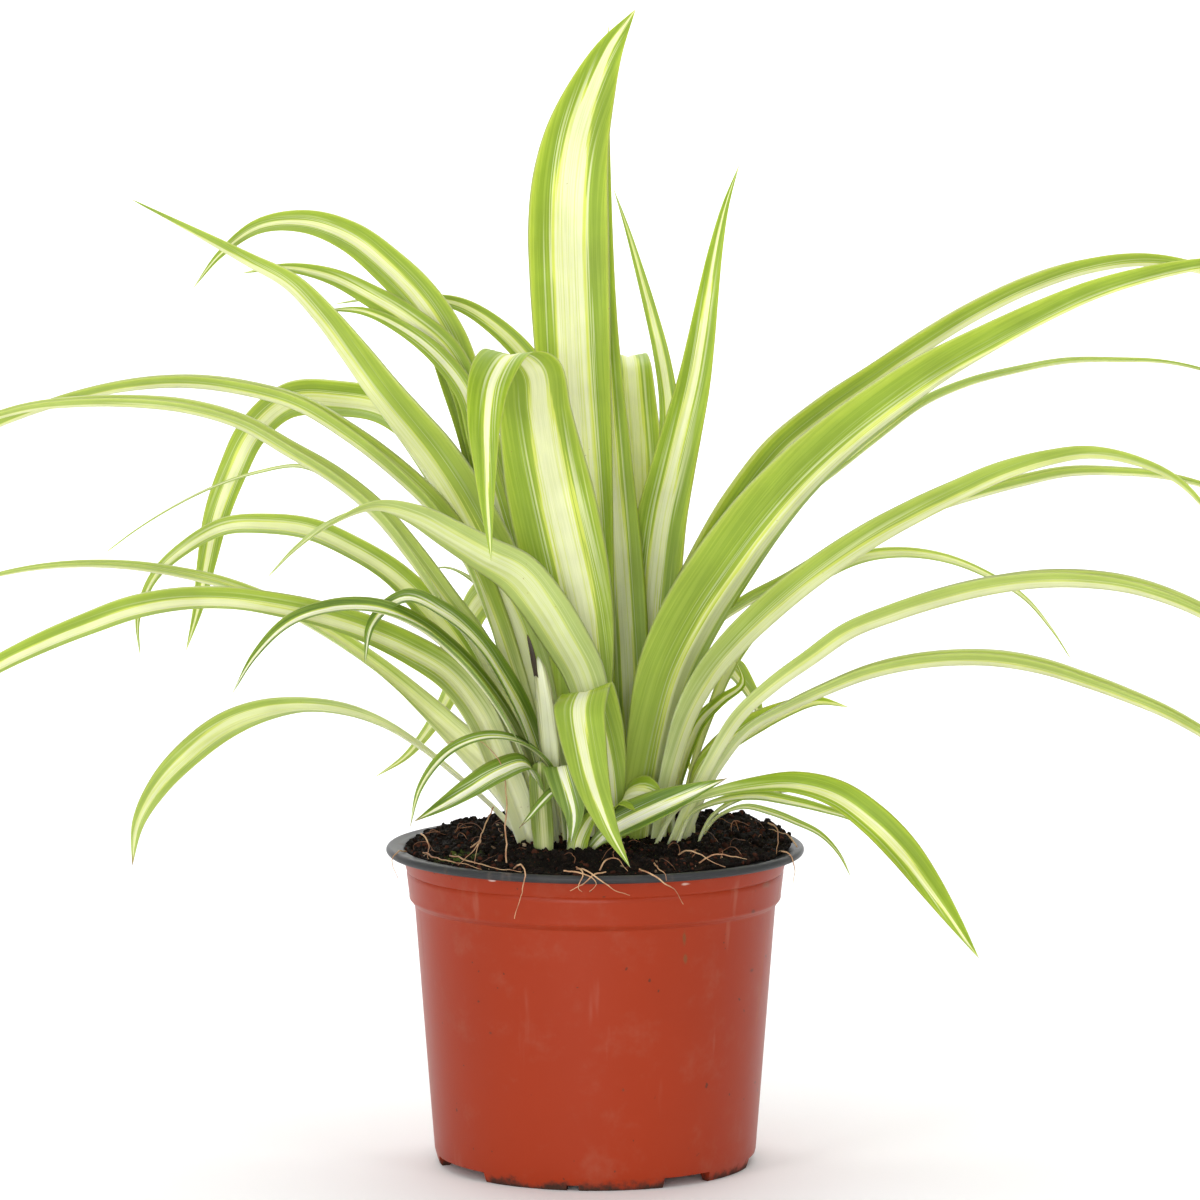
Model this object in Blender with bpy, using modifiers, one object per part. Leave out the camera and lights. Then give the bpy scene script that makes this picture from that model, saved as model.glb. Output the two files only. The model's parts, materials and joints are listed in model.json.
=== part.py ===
"""A spider plant in a nursery pot: pot, soil, four rootstocks and every striped leaf as its own solid.

Metres, +Z up. The origin is on the pot's axis, on the face that the pot stands on. Leaf measures are given in
millimetres in the table below, because that is how a leaf is measured.
"""

import math
from typing import NamedTuple

import bmesh
import bpy
from mathutils import Matrix, Vector, geometry

MM = 0.001
GAP = 0.3 * MM

# The pot: a thin moulded tub with a rolled lip, a collar below it and a foot ring cut by drainage notches.
RIM_RADIUS = 61.2 * MM
POT_HEIGHT = 93.6 * MM
LIP_DEPTH = 2.4 * MM
COLLAR_RADIUS = 56.2 * MM
COLLAR_BOTTOM = 77.5 * MM
GROOVE_Z = 86.1 * MM
WALL_TOP_RADIUS = 53 * MM
WALL_FOOT_RADIUS = 47.2 * MM
WALL = 1.2 * MM
FLOOR_Z = 3.0 * MM
FOOT_INNER_RADIUS = 42 * MM
POT_STEPS = 72

# Foot notches: direction in degrees (0 is +X, 90 is the back), width and height.
NOTCHES = (
    (-150, 27, 3.0),
    (-98, 3.6, 1.6),
    (-55, 16, 3.0),
    (-5, 20, 3.0),
    (55, 24, 3.0),
    (105, 24, 3.0),
    (160, 24, 3.0),
)
DRAIN_RADIUS = 4 * MM
DRAIN_RING = 27 * MM
DRAIN_COUNT = 5

# The soil: level round the roots, falling to the wall, and lower at -X than at +X.
SOIL_LEVEL = 95 * MM
SOIL_LEVEL_RADIUS = 37 * MM
SOIL_EDGE = 92.2 * MM
SOIL_EDGE_TILT = 3.2 * MM
SOIL_STEPS = 48

# Rootstocks: place and radius. Their tops are flush with the soil.
ROOTSTOCKS = {
    "rootstock_left": (-15, -4, 9.5),
    "rootstock_front": (2, -14, 8.5),
    "rootstock_back": (0, 15, 12),
    "rootstock_right": (22, 0, 11),
}
ROOTSTOCK_HEIGHT = 9 * MM

# Every blade: a shallow channel, thick along the keel, with a folded foot that clasps its rootstock.
KEEL_THICKNESS = 0.9 * MM
EDGE_THICKNESS = 0.45 * MM
FOOT_SHARE = 0.36
FOOT_FOLD = 45
FOOT_LENGTH = 0.3
STATION_SPACING = 13 * MM
FEWEST_STATIONS, MOST_STATIONS = 7, 18


class Leaf(NamedTuple):
    """One blade, in millimetres and degrees.

    The route starts at the foot (x, y) on the soil and ends at the tip. The fold is how far each half
    rises from flat. The turns roll the blade, at the foot, halfway and at the tip, so that its upper face
    looks to the front. The heading is the way that the leaf leans: 0 is +X, 90 is the back. The peak is
    the widest place's share of the length, and a low taper narrows the blade early beyond it.
    """

    width: float
    fold: float
    turns: tuple
    route: tuple
    heading: float
    peak: float = 0.45
    taper: float = 1.8


LEAVES = {
    "centre": (
        Leaf(
            width=24, fold=8, turns=(0, 0, 0), heading=90, peak=0.72,
            route=((1, 7), (0, 12, 134), (-3, 16, 184), (-7, 20, 245), (-7, 23, 290), (1, 25, 318),
                   (12, 26, 337)),
        ),
        Leaf(
            width=12, fold=10, turns=(0, 0, 0), heading=90, peak=0.35,
            route=((10, 9), (10, 17, 135), (8, 21.5, 170), (5, 26, 205), (2, 30, 245), (2, 34, 290),
                   (4, 36, 333)),
        ),
        Leaf(
            width=7, fold=12, turns=(0, 0, 0), heading=90,
            route=((17, 19), (20, 31, 150), (22, 34, 200), (21, 35, 227), (13, 37, 260),
                   (5, 38, 285)),
        ),
        Leaf(
            width=16, fold=12, turns=(0, 0, 0), heading=90,
            route=((9, 22), (13, 35, 150), (13, 43, 195), (11, 52, 225), (10, 62, 233.5),
                   (9, 76, 222), (8, 88, 188)),
        ),
        Leaf(
            width=16, fold=12, turns=(0, 0, 0), heading=90, peak=0.42, taper=1.3,
            route=((19, 14), (16, 23, 145), (18.5, 27, 180), (23, 28, 202), (29, 28, 227),
                   (36.5, 26, 272), (42.5, 25, 292)),
        ),
    ),
    "front": (
        Leaf(
            width=26, fold=10, turns=(0, 0, 0), heading=-90, peak=0.45, taper=1.2,
            route=((-2, -4), (-4, -8, 150), (-7.5, -12, 172), (-12.5, -17, 195), (-17, -26, 220),
                   (-18, -33, 233), (-24, -43, 240), (-30, -55, 232), (-31, -60, 218),
                   (-29, -65, 183)),
        ),
        Leaf(
            width=17.5, fold=20, turns=(-10, -50, 0), heading=-140, peak=0.35,
            route=((1, -11), (-2, -15, 138), (-8, -19, 153), (-21.5, -29, 174.5), (-34, -37, 182.5),
                   (-55, -47, 195), (-69, -52, 195.5), (-93, -60, 177.5)),
        ),
        Leaf(
            width=16, fold=10, turns=(0, 0, 0), heading=-90, peak=0.5,
            route=((5, -17), (4, -21, 118), (-1, -27, 139), (-4, -33, 143.5), (-4, -41, 134),
                   (0, -50, 116), (5, -55, 104), (10, -58, 95.5)),
        ),
    ),
    "upper_left": (
        Leaf(
            width=25, fold=30, turns=(-60, -40, 0), heading=180, peak=0.42,
            route=((-11, 3), (-22, 6, 149), (-35, 8, 177), (-47, 9, 199), (-64, 8, 222),
                   (-87, 3, 254), (-102, 0, 264), (-135, -5, 283)),
        ),
        Leaf(
            width=15, fold=15, turns=(60, 30, 60), heading=165, peak=0.5,
            route=((-4, 15), (-10, 19, 133), (-27, 22, 182), (-42, 22, 232), (-50, 21, 249),
                   (-74, 20, 271), (-92, 18, 274.5), (-104, 16, 270), (-118, 13, 255)),
        ),
        Leaf(
            width=10, fold=15, turns=(40, 60, 60), heading=175, peak=0.65,
            route=((-8, 12), (-23, 16, 168), (-34, 17, 208), (-40, 16, 230), (-49, 15, 242),
                   (-75, 13, 258), (-89, 13, 261.5), (-104, 13, 260)),
        ),
        Leaf(
            width=8, fold=15, turns=(40, 60, 60), heading=178, peak=0.65,
            route=((-8, 8), (-22, 12, 165), (-33, 12, 205), (-39, 12, 227), (-51, 11, 240),
                   (-63, 10, 247.5), (-72, 9, 249.8), (-81, 8, 249.5)),
        ),
        Leaf(
            width=8, fold=15, turns=(20, 40, 40), heading=130, peak=0.55,
            route=((-3, 19), (-3, 31, 160), (-9, 37, 200), (-15, 41, 225), (-29, 44, 242),
                   (-45, 46, 250), (-79, 46, 249)),
        ),
    ),
    "left": (
        Leaf(
            width=13, fold=42, turns=(30, 0, 0), heading=175, peak=0.35,
            route=((-14, -1), (-20, 0, 124), (-35, 1, 170), (-49, 3, 192), (-77, 7, 215),
                   (-94, 9, 223), (-124, 12, 227), (-158, 16, 221), (-195, 20, 205),
                   (-226, 22, 181)),
        ),
        Leaf(
            width=12, fold=42, turns=(30, 10, 0), heading=-174, peak=0.35,
            route=((-17, -5), (-29, -7, 141), (-43, -9, 163), (-66, -11, 193), (-84, -13, 206),
                   (-112, -16, 220.5), (-158, -21, 223), (-190, -24, 213), (-218, -26, 195)),
        ),
        Leaf(
            width=9, fold=35, turns=(35, 10, 0), heading=177, peak=0.35,
            route=((-22, -1), (-28, 0, 109), (-42, 1, 125), (-69, 3, 148), (-100, 5, 165.5),
                   (-126, 7, 172.5), (-150, 8, 174.5), (-175, 9, 171.5), (-210, 12, 159)),
        ),
        Leaf(
            width=13, fold=25, turns=(55, 28, 35), heading=-155, peak=0.45,
            route=((-19, -10), (-33, -15, 131), (-43, -18, 145), (-68, -27, 159), (-96, -38, 167),
                   (-114, -46, 169), (-131, -52, 167), (-166, -66, 154), (-190, -77, 139),
                   (-208, -88, 121)),
        ),
        Leaf(
            width=10, fold=20, turns=(0, 20, 90), heading=-165, peak=0.65,
            route=((-23, 5), (-34, 5, 107), (-60, 0, 127.5), (-84, -8, 134.5), (-107, -20, 130),
                   (-127, -29, 113), (-132, -32, 102), (-133, -34, 92)),
        ),
        Leaf(
            width=14, fold=15, turns=(20, 30, 110), heading=165, peak=0.6,
            route=((-9, 20), (-18, 24, 148), (-35, 29, 184), (-57, 33, 214.5), (-74, 35, 220.5),
                   (-95, 36, 218), (-111, 36, 190), (-118, 35, 160), (-122, 34, 146)),
        ),
        Leaf(
            width=11, fold=20, turns=(50, 30, 60), heading=175, peak=0.45,
            route=((-20, 4), (-37, 6, 144), (-58, 8, 170), (-81, 11, 183), (-94, 13, 185.5),
                   (-111, 15, 184), (-131, 16, 168), (-134, 16, 146)),
        ),
        Leaf(
            width=3.5, fold=20, turns=(20, 20, 20), heading=172,
            route=((-16, 9), (-29, 9, 141), (-43, 10, 163), (-54, 12, 178), (-67, 14, 192),
                   (-80, 16, 200), (-89, 18, 203), (-116, 21, 195), (-146, 23, 176)),
        ),
        Leaf(
            width=9, fold=15, turns=(0, -60, -60), heading=120,
            route=((-9, 24), (-17, 33, 138), (-27, 46, 160), (-35, 57, 160), (-41, 65, 142),
                   (-46, 70, 126), (-60, 77, 107), (-68, 80, 102)),
        ),
        Leaf(
            width=3, fold=15, turns=(0, 20, 20), heading=155,
            route=((-14, 13), (-24, 20, 150), (-35, 23, 168), (-42, 25, 172.5), (-49, 26, 171),
                   (-56, 24, 167)),
        ),
        Leaf(
            width=10, fold=30, turns=(40, 20, 20), heading=-155,
            route=((-14, -16), (-24, -20, 129), (-44, -31, 156), (-64, -40, 167), (-85, -48, 164.5),
                   (-96, -51, 155), (-103, -54, 144)),
        ),
        Leaf(
            width=12, fold=25, turns=(40, 25, 20), heading=-160,
            route=((-13, -11), (-20, -16, 129), (-35, -23, 156), (-44, -27, 164), (-54, -29, 168.5),
                   (-60, -31.5, 168.5), (-66, -34.5, 150)),
        ),
    ),
    "small": (
        Leaf(
            width=5.5, fold=25, turns=(0, 20, 30), heading=-150,
            route=((-9, -14), (-12, -17, 115), (-16, -21.5, 123), (-22, -25.5, 127),
                   (-31, -31, 129), (-39, -35, 127), (-46, -39, 122), (-51, -41, 113),
                   (-53, -42, 104)),
        ),
        Leaf(
            width=8.5, fold=20, turns=(0, 30, 40), heading=-150, peak=0.55,
            route=((-16, -19), (-16, -22, 110), (-19, -27, 120), (-26, -31, 119.5), (-42, -37, 111),
                   (-52, -40, 106)),
        ),
        Leaf(
            width=4, fold=20, turns=(0, 10, 20), heading=-140,
            route=((-8, -22), (-9, -26, 111), (-12, -29, 113), (-17, -31, 108), (-22, -33, 103)),
        ),
        Leaf(
            width=11, fold=20, turns=(0, 0, 0), heading=-100, peak=0.55,
            route=((-3, -18), (-6.5, -21, 112), (-9.5, -25, 121), (-9, -30, 118), (-6, -33, 109),
                   (-7, -35, 99)),
        ),
        Leaf(
            width=8, fold=20, turns=(20, 30, 40), heading=-45, peak=0.55,
            route=((7.5, -20), (7, -22, 104), (8, -24.5, 110), (11.5, -26, 112), (16, -27, 110.5),
                   (20, -27, 107)),
        ),
        Leaf(
            width=11, fold=30, turns=(40, 50, 40), heading=-10, peak=0.35,
            route=((-1, -26), (6, -30, 102), (17, -33, 108), (28, -34, 113), (38, -35, 118)),
        ),
    ),
    "right": (
        Leaf(
            width=20, fold=40, turns=(-10, -10, 0), heading=10, peak=0.35,
            route=((13, 4), (17, 10, 139), (30, 16, 169), (54, 21, 205), (79, 26, 224),
                   (119, 33, 249), (150, 38, 260), (174, 42, 260), (205, 46, 249), (226, 50, 235)),
        ),
        Leaf(
            width=28, fold=30, turns=(-50, -45, -10), heading=0, peak=0.32, taper=1.2,
            route=((15, -5), (23, -5, 140), (35, -4, 164), (62, -2, 199), (94, 1, 225.5),
                   (124, 3, 243), (147, 4, 254), (177, 4, 262), (203, 3, 262.5), (226, 1, 255)),
        ),
        Leaf(
            width=8, fold=30, turns=(0, 0, 0), heading=22,
            route=((20, 7), (31, 16, 150), (53, 28, 184), (79, 40, 205), (103, 48, 221.5),
                   (136, 58, 230), (156, 63, 231), (183, 70, 228), (215, 78, 212)),
        ),
        Leaf(
            width=18, fold=45, turns=(-15, -15, 0), heading=-8, peak=0.35,
            route=((20, -6), (29, -7, 131.5), (43, -9, 152), (76, -12, 179.5), (117, -16, 202),
                   (134, -18, 207.5), (148, -20, 208.5), (168, -22, 201), (182, -24, 182)),
        ),
        Leaf(
            width=10, fold=40, turns=(0, 0, 0), heading=10,
            route=((23, 2), (32, 11, 153), (54, 12, 167), (76, 16, 179), (98, 20, 189),
                   (137, 28, 199), (155, 31, 199.5), (179, 34, 196), (205, 37, 184),
                   (222, 40, 171)),
        ),
        Leaf(
            width=6.5, fold=20, turns=(0, 40, 60), heading=15,
            route=((25, 8), (41, 18, 145), (60, 24, 165), (80, 28, 175), (102, 32, 174.5),
                   (123, 35, 165.5), (132, 36, 157.5), (143, 38, 142)),
        ),
        Leaf(
            width=14.5, fold=42, turns=(0, 0, 0), heading=-22, peak=0.45,
            route=((24, -11), (43, -17, 133), (60, -23, 147.5), (76, -28, 159), (115, -42, 172.5),
                   (145, -53, 174.5), (169, -62, 168), (195, -74, 152), (214, -88, 132)),
        ),
        Leaf(
            width=12, fold=40, turns=(0, 0, 0), heading=-12,
            route=((27, -5), (42, -10, 125), (59, -13, 136), (87, -19, 147), (119, -25, 149),
                   (152, -32, 140), (172, -36, 131), (195, -41, 115), (212, -45, 97)),
        ),
        Leaf(
            width=13, fold=35, turns=(0, 40, 40), heading=5,
            route=((29, 2), (32, 3, 113), (42, 4, 123), (54, 5, 130), (64, 6, 134), (75, 7, 133)),
        ),
        Leaf(
            width=10, fold=20, turns=(20, 50, 90), heading=-22, peak=0.65,
            route=((18, -15), (24, -17, 106), (41, -24, 113), (59, -32, 115.5), (71, -36, 112),
                   (83, -40, 103), (93, -44, 92), (109.5, -50, 68)),
        ),
        Leaf(
            width=6, fold=20, turns=(10, 20, 20), heading=-10,
            route=((24, -15), (29, -14, 105), (41, -16, 109), (50, -18, 109.5), (74, -22, 104),
                   (83, -24, 98)),
        ),
        Leaf(
            width=5, fold=20, turns=(10, 20, 20), heading=-5,
            route=((30, -10), (35, -10, 104), (42, -10, 108), (56, -11, 111), (69, -12, 109),
                   (82, -13, 100)),
        ),
        Leaf(
            width=4, fold=20, turns=(10, 20, 20), heading=-5,
            route=((31, -1), (40, -1, 104), (51, -2, 103), (59, -3, 100), (68, -4, 95),
                   (75, -5, 84)),
        ),
        Leaf(
            width=6, fold=20, turns=(10, 20, 40), heading=20,
            route=((23, 12), (26, 11, 115), (33, 11, 131), (40, 12, 136), (44, 13, 141),
                   (41, 14, 147)),
        ),
    ),
    "back": (
        Leaf(
            width=16, fold=15, turns=(0, 0, 0), heading=100,
            route=((-1, 25), (-8, 40, 160), (-16, 56, 194), (-24, 74, 194), (-32, 88, 168)),
        ),
        Leaf(
            width=14, fold=15, turns=(0, 0, 0), heading=75,
            route=((8, 27), (13, 44, 135), (19, 62, 154), (27, 78, 146), (33, 88, 124)),
        ),
        Leaf(
            width=12, fold=15, turns=(0, 0, 0), heading=110,
            route=((-6, 31), (-10, 44, 130), (-16, 60, 146), (-23, 76, 138), (-28, 87, 118)),
        ),
        Leaf(
            width=12, fold=15, turns=(0, 0, 0), heading=52,
            route=((16, 23), (23, 33, 125), (35, 51, 141), (45, 67, 132), (52, 82, 116)),
        ),
        Leaf(
            width=15, fold=15, turns=(0, 0, 0), heading=95, peak=0.55,
            route=((0, 34), (-1, 47, 150), (-2, 60, 200), (-5, 73, 226), (-8, 88, 214)),
        ),
        Leaf(
            width=9, fold=20, turns=(0, 0, 0), heading=65,
            route=((12, 32), (16, 47, 117), (21, 63, 124), (26, 76, 115), (29, 84, 103)),
        ),
        Leaf(
            width=9, fold=20, turns=(0, 0, 0), heading=105,
            route=((-12, 29), (-14, 45, 113), (-17, 62, 120), (-19, 75, 112), (-21, 83, 99)),
        ),
    ),
}


def material(name, colour, roughness):
    made = bpy.data.materials.new(name)
    made.use_nodes = True
    shader = made.node_tree.nodes["Principled BSDF"]
    shader.inputs["Base Color"].default_value = (*colour, 1)
    shader.inputs["Roughness"].default_value = roughness
    shader.inputs["Metallic"].default_value = 0
    return made


def collection(name):
    made = bpy.data.collections.new(name)
    bpy.context.scene.collection.children.link(made)
    return made


def add_object(name, mesh, group, finish=None):
    made = bpy.data.objects.new(name, mesh)
    group.objects.link(made)
    if finish:
        mesh.materials.append(finish)
    return made


def mesh_of(name, shape):
    """The mesh of a bmesh, which is freed."""
    bmesh.ops.recalc_face_normals(shape, faces=shape.faces)
    mesh = bpy.data.meshes.new(name)
    shape.to_mesh(mesh)
    shape.free()
    return mesh


def turned(name, profile, steps, group, finish):
    """A solid turned about the Z axis from (radius, height) points that run down the outside."""
    mesh = bpy.data.meshes.new(name)
    edges = [(i, i + 1) for i in range(len(profile) - 1)]
    mesh.from_pydata([(radius, 0, height) for radius, height in profile], edges, [])
    made = add_object(name, mesh, group, finish)
    screw = made.modifiers.new("Turn", "SCREW")
    screw.steps = screw.render_steps = steps
    screw.use_merge_vertices = True
    screw.merge_threshold = 1e-5
    screw.use_smooth_shade = True
    return made


def lofted(name, rings, tip=None):
    """A closed mesh over rings of equal size, capped at its foot and ended by a cap or by the tip."""
    shape = bmesh.new()
    loops = [[shape.verts.new(point) for point in ring] for ring in rings]
    for low, high in zip(loops, loops[1:]):
        for i in range(len(low)):
            j = (i + 1) % len(low)
            shape.faces.new((low[i], low[j], high[j], high[i]))
    shape.faces.new(reversed(loops[0]))
    if tip is None:
        shape.faces.new(loops[-1])
    else:
        apex = shape.verts.new(tip)
        for i in range(len(loops[-1])):
            shape.faces.new((loops[-1][i], loops[-1][(i + 1) % len(loops[-1])], apex))
    return mesh_of(name, shape)


def cut(target, cutters):
    for cutter in cutters:
        cutter.hide_render = True
        cutter.display_type = "WIRE"
        difference = target.modifiers.new(cutter.name, "BOOLEAN")
        difference.operation = "DIFFERENCE"
        difference.object = cutter


def box_cutter(name, size, group):
    shape = bmesh.new()
    bmesh.ops.create_cube(shape, size=1, matrix=Matrix.Diagonal((*size, 1)))
    return add_object(name, mesh_of(name, shape), group)


def round_cutter(name, radius, depth, group, sides=32):
    shape = bmesh.new()
    bmesh.ops.create_cone(shape, cap_ends=True, segments=sides, radius1=radius, radius2=radius, depth=depth)
    return add_object(name, mesh_of(name, shape), group)


def wall_radius(height):
    """The pot's outer radius below the collar."""
    share = (height - FLOOR_Z) / (COLLAR_BOTTOM - FLOOR_Z)
    return WALL_FOOT_RADIUS + share * (WALL_TOP_RADIUS - WALL_FOOT_RADIUS)


def make_pot(group, cutters, finish):
    lip_z = POT_HEIGHT - LIP_DEPTH
    collar_foot = COLLAR_RADIUS - 1.1 * MM
    profile = [
        (0, FLOOR_Z + WALL),
        (wall_radius(FLOOR_Z) - 3.4 * MM, FLOOR_Z + WALL),
        (wall_radius(FLOOR_Z + 3 * MM) - 1.2 * WALL, FLOOR_Z + 2.6 * WALL),
        (wall_radius(COLLAR_BOTTOM) - WALL, COLLAR_BOTTOM - 1 * MM),
        (collar_foot - WALL, COLLAR_BOTTOM + 0.8 * MM),
        (COLLAR_RADIUS - WALL, lip_z),
        (COLLAR_RADIUS + 0.6 * MM, POT_HEIGHT - 0.9 * MM),
        (RIM_RADIUS - 2.4 * MM, POT_HEIGHT),
        (RIM_RADIUS - 0.9 * MM, POT_HEIGHT - 0.2 * MM),
        (RIM_RADIUS - 0.15 * MM, POT_HEIGHT - 0.9 * MM),
        (RIM_RADIUS, POT_HEIGHT - 1.8 * MM),
        (RIM_RADIUS - 0.6 * MM, lip_z + 0.3 * MM),
        (RIM_RADIUS - 1.8 * MM, lip_z),
        (COLLAR_RADIUS, lip_z - 0.6 * MM),
        (COLLAR_RADIUS - 0.45 * MM, GROOVE_Z + 1.2 * MM),
        (COLLAR_RADIUS - 0.75 * MM, GROOVE_Z),
        (collar_foot, COLLAR_BOTTOM + 0.8 * MM),
        (wall_radius(COLLAR_BOTTOM), COLLAR_BOTTOM - 1 * MM),
        (wall_radius(FLOOR_Z + 3 * MM), FLOOR_Z + 3 * MM),
        (wall_radius(FLOOR_Z) - 0.5 * MM, FLOOR_Z + 0.6 * MM),
        (wall_radius(FLOOR_Z) - 1.0 * MM, 0),
        (FOOT_INNER_RADIUS + 1 * MM, 0),
        (FOOT_INNER_RADIUS, FLOOR_Z),
        (0, FLOOR_Z),
    ]
    pot = turned("pot", profile, POT_STEPS, group, finish)
    for i, (direction, width, height) in enumerate(NOTCHES):
        notch = box_cutter(f"notch_{i + 1}", (14 * MM, width * MM, 2 * height * MM), cutters)
        turn = Matrix.Rotation(math.radians(direction), 4, "Z")
        notch.matrix_world = turn @ Matrix.Translation((WALL_FOOT_RADIUS - 1 * MM, 0, 0))
        cut(pot, [notch])
    for i in range(DRAIN_COUNT):
        angle = 2 * math.pi * (i + 0.3) / DRAIN_COUNT
        drain = round_cutter(f"drain_{i + 1}", DRAIN_RADIUS, 4 * WALL, cutters)
        drain.location = (DRAIN_RING * math.cos(angle), DRAIN_RING * math.sin(angle), FLOOR_Z + WALL / 2)
        cut(pot, [drain])
    return pot


def soil_height(radius, angle, wall):
    """The soil's top: level near the roots, then falling smoothly to its edge at the wall."""
    share = max(0, (radius - SOIL_LEVEL_RADIUS) / (wall - SOIL_LEVEL_RADIUS))
    share = share * share * (3 - 2 * share)
    return SOIL_LEVEL + share * (SOIL_EDGE + SOIL_EDGE_TILT * math.cos(angle) - SOIL_LEVEL)


def make_soil(group, cutters, finish):
    """The potting soil, which fills the pot, with a pocket for each rootstock."""
    reach = COLLAR_RADIUS - WALL - 2 * GAP
    floor = FLOOR_Z + WALL + GAP
    sides = [
        (wall_radius(FLOOR_Z) - 5 * MM, floor),
        (wall_radius(FLOOR_Z + 5 * MM) - 2.2 * WALL, floor + 4 * MM),
        (wall_radius(COLLAR_BOTTOM) - WALL - 2 * GAP, COLLAR_BOTTOM - 1.2 * MM),
        (reach - 1.2 * MM, COLLAR_BOTTOM + 2.4 * MM),
        (reach, (COLLAR_BOTTOM + SOIL_EDGE) / 2 + 2 * MM),
    ]
    angles = [2 * math.pi * i / SOIL_STEPS for i in range(SOIL_STEPS)]
    rings = [[(r * math.cos(a), r * math.sin(a), z) for a in angles] for r, z in sides]
    for radius in (reach, reach - 4 * MM, reach - 9 * MM, SOIL_LEVEL_RADIUS, 0.5 * SOIL_LEVEL_RADIUS):
        ring = [(radius * math.cos(a), radius * math.sin(a), soil_height(radius, a, reach)) for a in angles]
        rings.append(ring)
    soil = add_object("soil", lofted("soil", rings), group, finish)
    for name, (x, y, radius) in ROOTSTOCKS.items():
        pocket = round_cutter(name + "_pocket", radius * MM + GAP, 2 * (ROOTSTOCK_HEIGHT + GAP), cutters, 40)
        pocket.location = (x * MM, y * MM, SOIL_LEVEL)
        cut(soil, [pocket])
    return soil


def make_rootstock(name, x, y, radius, group, finish):
    """The short swollen stem of a tuft of leaves, rounded below and level with the soil above."""
    wide = radius * MM
    low = SOIL_LEVEL - ROOTSTOCK_HEIGHT
    profile = [
        (0, SOIL_LEVEL),
        (wide - 0.8 * MM, SOIL_LEVEL),
        (wide, SOIL_LEVEL - 0.8 * MM),
        (wide, SOIL_LEVEL - 0.35 * ROOTSTOCK_HEIGHT),
        (0.8 * wide, low + 0.15 * ROOTSTOCK_HEIGHT),
        (0.4 * wide, low),
        (0, low),
    ]
    stock = turned(name, profile, 32, group, finish)
    stock.location = (x * MM, y * MM, 0)
    return stock


def smooth_path(points):
    """A dense smooth curve through the points, with the distance along it at each."""
    ways = [(b - a).normalized() for a, b in zip(points, points[2:])]
    first = (2 * (points[1] - points[0]).normalized() - ways[0]).normalized()
    last = (2 * (points[-1] - points[-2]).normalized() - ways[-1]).normalized()
    ways = [first, *ways, last]
    path = [points[0]]
    for start, end, way_in, way_out in zip(points, points[1:], ways, ways[1:]):
        third = (end - start).length / 3
        path += geometry.interpolate_bezier(start, start + way_in * third, end - way_out * third, end, 24)[1:]
    distances = [0]
    for a, b in zip(path, path[1:]):
        distances.append(distances[-1] + (b - a).length)
    return path, distances


def at_distance(path, distances, distance):
    for i in range(len(path) - 1):
        if distances[i + 1] >= distance:
            share = (distance - distances[i]) / (distances[i + 1] - distances[i])
            return path[i].lerp(path[i + 1], share)
    return path[-1].copy()


def blend(three, share):
    """The value at a share of the way along three values that lie at 0, one half and 1."""
    if share < 0.5:
        return three[0] + 2 * share * (three[1] - three[0])
    return three[1] + (2 * share - 1) * (three[2] - three[1])


def width_share(share, leaf):
    """The blade's width as a share of its greatest, from the foot to the pointed tip."""
    if share < leaf.peak:
        return FOOT_SHARE + (1 - FOOT_SHARE) * math.sin(math.pi / 2 * share / leaf.peak) ** 2
    return 1 - ((share - leaf.peak) / (1 - leaf.peak)) ** leaf.taper


def make_leaf(name, leaf, group, finish):
    """A blade lofted along its route: six points round each section, a level foot and a pointed tip."""
    root_z = SOIL_LEVEL + 1.2 * GAP
    route = [Vector((*leaf.route[0], root_z / MM)), *map(Vector, leaf.route[1:])]
    path, distances = smooth_path([point * MM for point in route])
    length = distances[-1]
    stations = max(FEWEST_STATIONS, min(MOST_STATIONS, round(length / STATION_SPACING)))
    heading = math.radians(leaf.heading)
    across = Vector((-math.sin(heading), math.cos(heading), 0))
    facing = 1 if math.cos(heading) >= 0 else -1
    rings = []
    for i in range(stations):
        share = i / stations
        keel = at_distance(path, distances, share * length)
        ahead = at_distance(path, distances, min(1, share + 0.01) * length)
        behind = at_distance(path, distances, max(0, share - 0.01) * length)
        way = (ahead - behind).normalized()
        side = (across - way * across.dot(way)).normalized()
        roll = Matrix.Rotation(facing * math.radians(blend(leaf.turns, share)), 3, way)
        side = roll @ side
        upper = way.cross(side)
        half = leaf.width * MM / 2 * width_share(share, leaf)
        clasp = max(0, 1 - share / FOOT_LENGTH) ** 2
        fold = math.radians(leaf.fold + max(0, FOOT_FOLD - leaf.fold) * clasp)
        reach, rise = side * half * math.cos(fold), upper * half * math.sin(fold)
        thick, thin = upper * KEEL_THICKNESS / 2, upper * EDGE_THICKNESS / 2
        left, right = keel - reach + rise, keel + reach + rise
        ring = [left + thin, keel + thick, right + thin, right - thin, keel - thick, left - thin]
        if i == 0:
            ring = [point + way * (root_z - point.z) / way.z for point in ring]
        rings.append(ring)
    return add_object(name, lofted(name, rings, path[-1]), group, finish)


def main():
    for obj in list(bpy.data.objects):
        bpy.data.objects.remove(obj)
    plant = collection("spider_plant")
    cutters = collection("cutters")
    clay = material("terracotta_plastic", (0.42, 0.07, 0.025), 0.4)
    earth = material("potting_soil", (0.02, 0.012, 0.008), 0.95)
    stock = material("rootstock", (0.45, 0.38, 0.22), 0.8)
    blade = material("leaf", (0.33, 0.5, 0.07), 0.4)
    make_pot(plant, cutters, clay)
    make_soil(plant, cutters, earth)
    for name, (x, y, radius) in ROOTSTOCKS.items():
        make_rootstock(name, x, y, radius, plant, stock)
    for place, leaves in LEAVES.items():
        for i, leaf in enumerate(leaves):
            make_leaf(f"leaf_{place}_{i + 1}", leaf, plant, blade)


main()
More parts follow.
